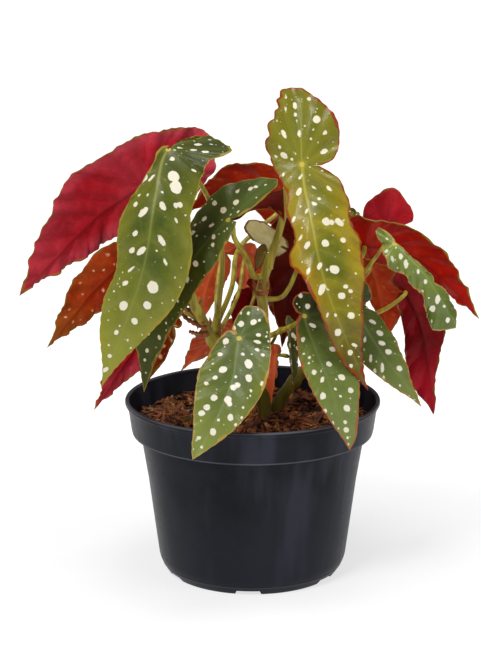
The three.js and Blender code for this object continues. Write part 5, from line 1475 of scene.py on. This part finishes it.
    def relief(self, x: Array, y: Array, veins: Array, gap: Array, edge: Array) -> Array:
        """The blade's puckers: sunk veins, the blade raised between them and slow unevenness.

        Args:
            x: The blade points' places along the rib.
            y: Their places across it.
            veins: How much each lies on a vein.
            gap: How far the nearest vein is.
            edge: How far the margin is.

        Returns:
            How far each point is lifted, in millimetres.
        """
        s = self.shape.seed
        slow = np.sin(x / 9.0 + s) * np.cos(y / 7.0 + 2 * s) + 0.6 * np.sin(x / 4.3 - y / 5.1 + 3 * s)
        puff = self.shape.puff * (1 - np.exp(-((gap / 5.0) ** 2)))
        calm = 0.2 + 0.8 * smooth(5, 30, np.hypot(x, y))
        return calm * (puff - (0.2 + 0.1 * self.shape.puff) * veins) + 0.45 * slow * smooth(0, 8, edge)

    def build(self, materials: LeafMaterials) -> Piece:
        """Builds the blade.

        Args:
            materials: The blades' materials.

        Returns:
            The piece.
        """
        pieces = []
        for half in self.halves:
            x, y, lift = half.net()
            (veins, gap), edge = self.vein_field(x, y), self.margin_gap(x, y)
            edge[:, -1] = 0
            lift = lift + self.relief(x, y, veins, gap, edge) + BLADE_THICK / 2 - 0.05
            points = self.surface.place(x.ravel(), y.ravel(), lift.ravel()).reshape(*x.shape, 3)
            piece = sheet(
                self.shape.name, points, fields=(self.spot_field(x, y), veins, edge),
                flat=(x / 100, y / 100, x / self.surface.length))
            if half.half is Half.LEFT:
                with editing(piece):
                    bpy.ops.mesh.flip_normals()
            pieces.append(piece)
        blade = join(pieces, self.shape.name + "_blade")
        close_up(blade, outwards=False)
        self._lay_uv(blade)
        if self.shape.lap:
            blade = join([blade, self._lap()], blade.name)
        paint(blade, materials.side(self.shape.top), materials.side(self.shape.under))
        self._thicken(blade)
        return blade

    def _lap(self) -> Piece:
        """The part of the lobe that laps down behind it, so that its lower side shows below the margin."""
        along = np.linspace(0, 1, LAP_COLUMNS + 1)
        top, low = (SmoothPath([pair[k] for pair in self.shape.lap]).at(along) for k in (0, 1))
        share = np.linspace(0, 1, LAP_ROWS + 1)[None, :, None]
        points = top[:, None] * (1 - share) + low[:, None] * share
        points[..., 1] += 2.5 * np.sin(math.pi * share[..., 0])
        gap = 9 * (1 - share[..., 0]) * np.ones(points.shape[:2])
        x, _, z = np.moveaxis(points, -1, 0) / 100
        return sheet("lap", points, fields=(gap * 0 + 6, gap * 0, gap), flat=(x, z, gap * 0 + 0.2))

    def _lay_uv(self, blade: Piece) -> None:
        """Lays the UV map flat: a unit is 100 mm of the blade.

        Args:
            blade: The two halves, joined.
        """
        mesh = blade.data
        flat = np.empty(len(mesh.vertices) * 3, np.float32)
        mesh.attributes["flat"].data.foreach_get("vector", flat)
        loops = np.empty(len(mesh.loops), int)
        mesh.loops.foreach_get("vertex_index", loops)
        mesh.uv_layers.active.data.foreach_set("uv", flat.reshape(-1, 3)[loops, :2].ravel())

    def _thicken(self, blade: Piece) -> None:
        """Gives the blade its thickness downwards: thick at the veins and thin at the margin.

        Args:
            blade: The blade, as thin as a sheet.
        """
        mesh = blade.data
        fields = np.empty(len(mesh.vertices) * 3, np.float32)
        mesh.attributes["fields"].data.foreach_get("vector", fields)
        _, veins, edge = fields.reshape(-1, 3).T
        share = 0.2 + 0.2 * smooth(0, 5, edge) + 0.5 * veins**1.5
        group = blade.vertex_groups.new(name="thick")
        levels = np.rint(share * THICK_LEVELS).astype(int)
        for level in np.unique(levels):
            group.add(np.nonzero(levels == level)[0].tolist(), float(level) / THICK_LEVELS, "REPLACE")
        solid = blade.modifiers.new("thickness", "SOLIDIFY")
        solid.thickness = THICKEST * MM
        solid.offset = -1
        solid.vertex_group = "thick"
        solid.material_offset = 1
        solid.material_offset_rim = 0
        apply_modifiers(blade)
        blade.vertex_groups.clear()
        smooth_shade(blade, 60)


# Canes and stalks


@dataclass
class Cane:
    """A cane with its joints, dried scales and the stalks of its leaves."""

    shape: CaneShape
    leaves: list[Leaf]
    path: SmoothPath = field(init=False)

    def __post_init__(self) -> None:
        """Lays out the path."""
        self.path = SmoothPath(list(self.shape.path))

    def radius(self, share: Array) -> Array:
        """The cane's radii: tapered, swollen with a ridge at each joint.

        Args:
            share: Shares of its length.

        Returns:
            The radius at each, in millimetres.
        """
        foot, top = self.shape.radii
        radii = foot + (top - foot) * np.asarray(share, float)
        for joint in self.shape.joints:
            gap = (share - joint) * self.path.length
            radii = radii + 0.9 * np.exp(-((gap / 3.2) ** 2)) + 0.35 * np.exp(-(((gap - 1.5) / 0.7) ** 2))
        return radii * np.where(np.asarray(share) > 0.985, 0.8, 1)

    def stalk_path(self, leaf: Leaf) -> SmoothPath:
        """The way of a leaf's stalk, from inside the cane to the underside of the blade."""
        stalk = leaf.shape.stalk
        centre, along, up, _ = (row[0] for row in leaf.surface.frame_at(np.zeros(1)))
        under = centre - up * (stalk.gap + 6.9) - along * stalk.lean
        return SmoothPath([self.path.at(stalk.share)[0], *stalk.via, under, centre - up * stalk.gap])

    def build(self) -> tuple[Piece, Piece, list[Piece]]:
        """Builds the cane, the stalks and the dried bits.

        Returns:
            The cane, the joined stalks, and the dried scales and twigs.
        """
        name = self.shape.name
        cane = bar(name + "_stem", self.path, self.radius, 90, 24)
        smooth_shade(cane, 60)
        stalks = []
        for leaf in self.leaves:
            thick = leaf.shape.stalk.radius

            def flared(share: Array, thick: float = thick) -> Array:
                """The radii of a stalk that flares where it leaves the cane and under the blade."""
                flare = 0.45 * np.exp(-share / 0.05) + 0.3 * np.exp(-(1 - share) / 0.03)
                return thick * (1.12 - 0.26 * share + flare) * (1 - 0.7 * smooth(0.965, 1, share))

            stalks.append(bar(leaf.shape.name + "_stalk", self.stalk_path(leaf), flared, 46, 14))
        joined = join(stalks, name + "_stalks")
        smooth_shade(joined, 60)
        return cane, joined, self._dried()

    def _dried(self) -> list[Piece]:
        """The papery scales at the joints and the dried flower stalk's twigs."""
        made = []

        def papery(share: Array) -> Array:
            """The half widths of a scale, which runs to a point."""
            return 2.1 * (1 - share**1.6) + 0.12

        def knotty(share: Array) -> Array:
            """The radii of a twig with knots."""
            return 1.7 * (1 - 0.5 * share) + 0.6 * np.sin(share * 17) ** 2

        for k, joint in enumerate(self.shape.joints):
            start = self.path.at(joint)[0]
            turn = 2.4 * k + self.shape.radii[0]
            for side in (0.0, 1.4, 2.6, 4.3)[::1 if self.shape.husk else 2]:
                out = np.array([math.cos(turn + side), math.sin(turn + side), 0.0])
                size = (0.7 if self.shape.husk else 0.5) + 0.6 * draw(k + side + joint)
                points = [start + out * 1.5, start + out * 4.2 * size + (0, 0, 3.5 * size),
                          start + out * 5.6 * size + (0, 0, 9.5 * size)]
                made.append(bar("scale", SmoothPath(points), papery, 14, 8, squash=0.22))
        if self.shape.husk:
            middle = self.shape.joints[-1] + np.array([-1.6, 0.0, 1.6]) / self.path.length
            wide = float(self.radius(middle[1:2])[0])

            def wrapped(share: Array) -> Array:
                """The radii of a sheath that hugs the cane."""
                return wide + 0.25 + 0.3 * np.sin(share * 17) ** 2

            made.append(bar("sheath", SmoothPath(list(self.path.at(middle))), wrapped, 10, 24))
        for twig in self.shape.stub:
            made.append(bar("twig", SmoothPath(list(twig)), knotty, 26, 10))
        return made


# The pot


@dataclass
class Pot:
    """The round nursery pot: body, rim band, foot with notches and drain holes."""

    height: float = 118.0
    rim: float = 85.0
    band: float = 22.0
    band_foot: float = 80.4
    body_top: float = 74.8
    body_foot: float = 62.4
    foot: float = 57.2
    rise: float = 8.0
    wall: float = 2.0
    floor_low: float = 4.0
    floor_thick: float = 2.4
    sides: int = 160
    notches: int = 6
    notch: Point = (19.4, 18.0, 5.6)
    notch_top: float = 0.78
    notch_turn: float = -3.0
    drains: int = 8
    drain_radius: float = 4.5
    drain_ring: float = 40.0

    def profile(self) -> list[tuple[float, float]]:
        """The wall's outline from the floor's underside round to its top: radius and height."""
        h, w, foot, rise, rim = self.height, self.wall, self.foot, self.rise, self.rim
        low, top, wide = self.body_foot, self.body_top, self.band_foot
        band = h - self.band
        inner_lip = rim - w - 0.6
        floor = self.floor_low + self.floor_thick
        return [
            (3, self.floor_low), (foot - w, self.floor_low), (foot - w, 0.3), (foot - w + 0.3, 0),
            (foot - 0.4, 0), (foot + 0.1, 0.5), (foot + 0.9, 1.6), (foot + 2.1, 3.4), (foot + 3.1, 4.9),
            (foot + 3.35, 5.2), (foot + 3.4, 5.6), (low - 0.9, rise - 0.6), (low - 0.2, rise + 1.2),
            (low + 0.5, rise + 4.0), (low + 3.4, rise + 26), (low + 7.3, rise + 56), (top - 0.3, band - 3),
            (top, band - 1.3), (top + 0.6, band - 0.8), (wide - 0.9, band - 0.7), (wide - 0.2, band - 0.4),
            (wide, band + 0.3), (wide + 0.5, band + 2.4), (rim - 2.4, h - 7.5), (rim - 1.1, h - 3.4),
            (rim - 0.25, h - 2.7), (rim, h - 2), (rim, h - 1.1), (rim - 0.25, h - 0.4), (rim - 0.8, h),
            (inner_lip + 0.4, h), (inner_lip, h - 0.4), (inner_lip - 0.5, h - 1.4),
            (wide - w + 0.6, band + 3.6), (wide - w, band + 1.8), (top - w + 0.4, band + 0.5),
            (top - w, band), (low - w, rise), (low - w - 2, floor), (3, floor)]

    def build(self) -> Piece:
        """Builds the pot from one ring that is pulled and sized along the outline.

        Returns:
            The piece.
        """
        outline = self.profile()
        radius, height = outline[0]
        bpy.ops.mesh.primitive_circle_add(
            vertices=self.sides, radius=radius * MM, fill_type="NGON", location=(0, 0, height * MM))
        pot = bpy.context.object
        pot.name = pot.data.name = "pot_shell"
        settle(pot)
        with editing(pot):
            bpy.ops.mesh.delete(type="ONLY_FACE")
            bpy.ops.mesh.select_all(action="SELECT")
            for (r0, z0), (r1, z1) in zip(outline[:-1], outline[1:]):
                bpy.ops.mesh.extrude_edges_move(TRANSFORM_OT_translate={"value": (0, 0, (z1 - z0) * MM)})
                bpy.ops.transform.resize(value=(r1 / r0, r1 / r0, 1), center_override=(0, 0, z1 * MM))
            bpy.ops.mesh.edge_face_add()
            bpy.ops.mesh.select_all(action="DESELECT")
        for vertex in pot.data.vertices:
            if abs(vertex.co.z - height * MM) < 1e-6 and vertex.co.xy.length < (radius + 0.5) * MM:
                vertex.select = True
        bpy.ops.object.mode_set(mode="EDIT")
        bpy.ops.mesh.select_mode(type="VERT")
        bpy.ops.mesh.edge_face_add()
        bpy.ops.object.mode_set(mode="OBJECT")
        close_up(pot)
        self._cut(pot)
        smooth_shade(pot, 32)
        return pot

    def _cut(self, pot: Piece) -> None:
        """Cuts the notches under the foot and the drain holes in the floor.

        Args:
            pot: The closed pot.
        """
        cutters = []
        for k in range(self.notches):
            bpy.ops.mesh.primitive_cube_add(size=1, location=(0, 0, 0))
            cutter = bpy.context.object
            cutter.scale = Vector(self.notch) * MM
            cutter.location = (0, -self.foot * MM, 0)
            settle(cutter)
            for vertex in cutter.data.vertices:
                if vertex.co.z > 0:
                    vertex.co.x *= self.notch_top
            turn = math.radians(360 / self.notches * k + self.notch_turn)
            cutter.data.transform(Matrix.Rotation(turn, 4, "Z"))
            cutters.append(cutter)
        for k in range(self.drains):
            turn = 2 * math.pi * (k + 0.5) / self.drains
            x, y = self.drain_ring * math.cos(turn), self.drain_ring * math.sin(turn)
            bpy.ops.mesh.primitive_cylinder_add(
                vertices=32, radius=self.drain_radius * MM, depth=12 * MM,
                location=(x * MM, y * MM, (self.floor_low + 1) * MM))
            settle(bpy.context.object)
            cutters.append(bpy.context.object)
        tool = join(cutters, "pot_cutters")
        cut = pot.modifiers.new("openings", "BOOLEAN")
        cut.operation = "DIFFERENCE"
        cut.solver = "EXACT"
        cut.object = tool
        apply_modifiers(pot)
        bpy.data.objects.remove(tool, do_unlink=True)


# The soil


@dataclass
class Soil:
    """The potting mix: a lumpy plug, bark chips, coir fibres and a little moss."""

    top: float = 103.0
    hump: float = 2.2
    edge: float = 78.0
    seed: int = 5

    def height(self, x: float, y: float) -> float:
        """The soil's height at a place, in millimetres.

        Args:
            x: The place from left to right.
            y: The place from front to back.

        Returns:
            The height above the pot's foot.
        """
        r = math.hypot(x, y) / 77
        lumps = math.sin(x * 0.21 + 1.3) * math.cos(y * 0.17 - 0.4)
        lumps += 0.6 * math.sin(x * 0.09 - y * 0.13 + 2.1)
        crumbs = noise.fractal(Vector((x * 0.16, y * 0.16, 3.1)), 0.7, 2.1, 5)
        return self.top + self.hump * (1 - r * r) + 0.9 * lumps + 1.3 * crumbs

    def bed(self) -> Piece:
        """The plug itself.

        Returns:
            The piece.
        """
        rings, turns = 84, 200
        pot = Pot()
        low = [(self.edge - 0.2, self.top - 3.5), (pot.band_foot - 3.0, pot.height - pot.band + 2.4),
               (pot.body_top - 2.8, pot.height - pot.band + 0.4), (pot.body_foot - 2.6, pot.rise + 0.6),
               (pot.body_foot - 5, 7.2), (0, 7.2)]
        points = np.zeros((rings + len(low) + 1, turns + 1, 3))
        for i in range(rings + 1):
            for k in range(turns + 1):
                turn = 2 * math.pi * (k % turns) / turns
                r = self.edge * (i / rings) ** 0.9
                x, y = r * math.cos(turn), r * math.sin(turn)
                points[i, k] = (x, y, self.height(x, y))
        turn = 2 * math.pi * (np.arange(turns + 1) % turns) / turns
        for j, (r, z) in enumerate(low):
            points[rings + 1 + j] = np.stack([r * np.cos(turn), r * np.sin(turn), 0 * turn + z], axis=-1)
        bed = sheet("soil_bed", points)
        close_up(bed, gap=0.02)
        smooth_shade(bed, 60)
        return bed

    def _scatter(self, name: str, models: list[Piece], count: int, reach: float,
                 size: tuple[float, float], tilt: float, where: Callable | None = None) -> Piece:
        """Copies small models over the soil.

        Args:
            name: The name of the joined piece.
            models: The models, each about 1 mm long at the origin.
            count: How many copies.
            reach: How far from the middle they may lie, in millimetres.
            size: The least and the greatest scale.
            tilt: How far they may tilt, in radians.
            where: Gives the place of a copy from the generator, or none for anywhere.

        Returns:
            The joined piece.
        """
        rng = np.random.default_rng(self.seed + count)
        copies = []
        for k in range(count):
            if where is None:
                r, turn = reach * math.sqrt(rng.uniform()), rng.uniform(0, 2 * math.pi)
                x, y = r * math.cos(turn), r * math.sin(turn)
            else:
                x, y = where(rng)
            scale = min(rng.uniform(*size), 1.7 * (self.edge - 1.5 - math.hypot(x, y)))
            model = models[k % len(models)]
            copy = model.copy()
            copy.data = model.data.copy()
            bpy.context.collection.objects.link(copy)
            spin = Matrix.Rotation(rng.uniform(0, 2 * math.pi), 4, "Z")
            lean = Matrix.Rotation(rng.uniform(-tilt, tilt), 4, "X")
            lean = lean @ Matrix.Rotation(rng.uniform(-tilt, tilt), 4, "Y")
            place = Matrix.Translation(Vector((x, y, self.height(x, y) + 0.5)) * MM)
            copy.data.transform(place @ spin @ lean @ Matrix.Scale(scale, 4))
            copies.append(copy)
        for model in models:
            bpy.data.objects.remove(model, do_unlink=True)
        return join(copies, name)

    def chips(self) -> Piece:
        """Bark chips: uneven slivers."""
        models = []
        for k in range(5):
            bpy.ops.mesh.primitive_cube_add(size=1, location=(0, 0, 0))
            chip = bpy.context.object
            chip.scale = (MM * (0.9 + 0.6 * draw(k)), MM * (0.18 + 0.3 * draw(k + 9)), MM * 0.15)
            settle(chip)
            with editing(chip):
                bpy.ops.mesh.subdivide(number_cuts=1)
            for n, vertex in enumerate(chip.data.vertices):
                vertex.co *= 0.75 + 0.5 * draw(k * 31 + n)
            models.append(chip)
        return self._scatter("bark_chips", models, 950, 75.0, (2.5, 12.0), 0.6)

    def fibres(self) -> Piece:
        """Coir fibres: thin bent strands, thickest towards the front."""
        models = []

        def even(share: Array) -> Array:
            """The same radius all along."""
            return np.full(share.shape, 0.018)

        for k in range(6):
            bend = [(-0.5, 0, 0), (-0.2, 0.12 * (draw(k) - 0.5), 0.1 * draw(k + 3)),
                    (0.15, 0.3 * (draw(k + 5) - 0.5), 0.12 * draw(k + 7)),
                    (0.5, 0.25 * (draw(k + 11) - 0.5), -0.02)]
            models.append(bar("fibre", SmoothPath(bend), even, 6, 3))

        def front(rng: np.random.Generator) -> tuple[float, float]:
            """A place that is more often towards the front."""
            turn = math.radians(-80) + rng.normal(0, 0.8)
            r = 75 * math.sqrt(rng.uniform(0.35, 1))
            return r * math.cos(turn), r * math.sin(turn)

        return self._scatter("coir_fibres", models, 520, 75.0, (5, 13), 0.35, front)

    def moss(self) -> Piece:
        """A small cushion of moss at the left."""
        models = []

        def pointed(share: Array) -> Array:
            """Radii that run to a point."""
            return 0.2 * (1 - share) + 0.03

        for k in range(3):
            tuft = [(0, 0, -0.2), (0.15 * draw(k), 0.1, 0.5), (0.3 * draw(k + 1), 0.3 * draw(k + 2), 1.0)]
            models.append(bar("tuft", SmoothPath(tuft), pointed, 4, 4))

        def patch(rng: np.random.Generator) -> tuple[float, float]:
            """A place in the patch."""
            return -40 + rng.normal(0, 2.6), -12 + rng.normal(0, 2.6)

        return self._scatter("moss_tufts", models, 120, 60.0, (1.0, 2.4), 0.8, patch)


# The studio


@dataclass
class Studio:
    """The pale floor, soft light and the camera at the photograph's angle."""

    distance: float = 1.5
    elevation: float = 14.0
    lens: float = 125.42
    target: Point = (-0.00807, 0.0, 0.1673)
    aim: Point = (0.0, 0.0, 0.17)
    ambient: float = 0.2
    floor_grey: float = 0.32
    near_glow: float = 0.7
    glow_reach: tuple[float, float] = (0.12, 0.5)
    painted_shadow_under_pot: tuple[float, float] = (0.047, 0.042)

    def build(self) -> None:
        """Sets up the sky, the floor, the light and the camera."""
        scene = bpy.context.scene
        scene.view_settings.view_transform = "Standard"
        scene.world = bpy.data.worlds.new("studio")
        scene.world.use_nodes = True
        sky = Graph(scene.world.node_tree)
        seen = sky.add("ShaderNodeLightPath").outputs["Is Camera Ray"]
        background = sky.tree.nodes["Background"]
        sky.fill(background, Color=WHITE, Strength=sky.step(seen, 0.0, 1.0, self.ambient, 1.0))
        self._floor()
        self._light("key", (-0.7, -1.2, 1.6), 0.6, 22.0)
        self._light("fill", (1.4, -0.9, 0.6), 0.7, 4.5)
        self._light("top", (0.1, -0.1, 1.8), 0.7, 15.0)
        data = bpy.data.cameras.new("camera")
        data.lens = self.lens
        data.sensor_width = 36.0
        data.clip_end = 50
        scene.camera = bpy.data.objects.new("camera", data)
        bpy.context.collection.objects.link(scene.camera)
        tilt = math.radians(self.elevation)
        away = Vector((0, -math.cos(tilt), math.sin(tilt)))
        scene.camera.location = Vector(self.target) + away * self.distance
        scene.camera.rotation_euler = (math.radians(90 - self.elevation), 0, 0)

    def _floor(self) -> None:
        """Adds the floor, whose glow fades to white away from the pot, with a painted shadow, a dark disc,
        right under it.
        """
        bpy.ops.mesh.primitive_plane_add(size=8, location=(0, 0, 0))
        floor = bpy.context.object
        floor.name = floor.data.name = "studio_floor"
        graph = Surface("studio_floor")
        reach = graph.add("ShaderNodeVectorMath", operation="LENGTH", in_0=graph.place).outputs["Value"]
        glow = graph.mix((*[self.near_glow] * 3, 1.0), WHITE, graph.step(reach, *self.glow_reach))
        # Painted shadow: a dark disc right under the pot.
        glow = graph.mix(glow, (0.03, 0.03, 0.03, 1.0), graph.step(reach, *self.painted_shadow_under_pot))
        graph.fill(
            graph.shader, Base_Color=(*[self.floor_grey] * 3, 1.0), Emission_Color=glow,
            Emission_Strength=1.0, Roughness=0.9, Specular_IOR_Level=0.1)
        paint(floor, graph.material)

    def _light(self, name: str, place: Point, size: float, power: float) -> None:
        """Adds a soft square light that faces the plant.

        Args:
            name: Its name.
            place: Where it stands, in metres.
            size: Its side, in metres.
            power: Its power in watts.
        """
        data = bpy.data.lights.new(name, "AREA")
        data.shape = "SQUARE"
        data.size = size
        data.energy = power
        light = bpy.data.objects.new(name, data)
        bpy.context.collection.objects.link(light)
        light.location = place
        light.rotation_euler = (Vector(self.aim) - Vector(place)).to_track_quat("-Z", "Y").to_euler()


# The whole plant


# Millimetres between the net lines of a blade, at the front and at the back of the plant.
FRONT_CELL = 1.2
BACK_CELL = 1.7


def leaf_slot(shape: LeafShape) -> Slot:
    """The record's slot of a leaf."""
    slots = {part["node"]: part["material_slot"] for part in frame["record"]["subparts"]}
    return Slot(slots.get(shape.name, Slot.GREEN.value))


def main() -> None:
    """Builds the begonia around the frame."""
    effects = Effects()
    leaf_materials = LeafMaterials(effects)
    plain = PlainMaterials(effects)
    Studio().build()
    pot = Pot().build()
    paint(pot, plain.pot)
    finish_piece(pot, Slot.POT, "pot")
    soil = Soil()
    for piece, material, nodes in (
        (soil.bed(), plain.soil, ("soil",)), (soil.chips(), plain.bark, ()),
        (soil.fibres(), plain.fibre, ()), (soil.moss(), plain.moss, ())):
        paint(piece, material)
        finish_piece(piece, Slot.SOIL, *nodes)
    leaves = [Leaf(shape, FRONT_CELL if min(p[1] for p in shape.rib) < 0 else BACK_CELL) for shape in LEAVES]
    for leaf in leaves:
        finish_piece(leaf.build(leaf_materials), leaf_slot(leaf.shape), leaf.shape.name)
    for shape in CANES:
        cane = Cane(shape, [leaf for leaf in leaves if leaf.shape.stalk.cane == shape.name])
        stem, stalks, dried = cane.build()
        for piece, nodes in ((stem, (shape.name,)), (stalks, ())):
            paint(piece, plain.stem)
            finish_piece(piece, Slot.CANE, *nodes)
        scales = join(dried, shape.name + "_dried")
        paint(scales, plain.dried)
        smooth_shade(scales, 50)
        finish_piece(scales, Slot.CANE)


if __name__ == "__main__":
    logging.basicConfig(level=logging.INFO, format="%(message)s")
    main()
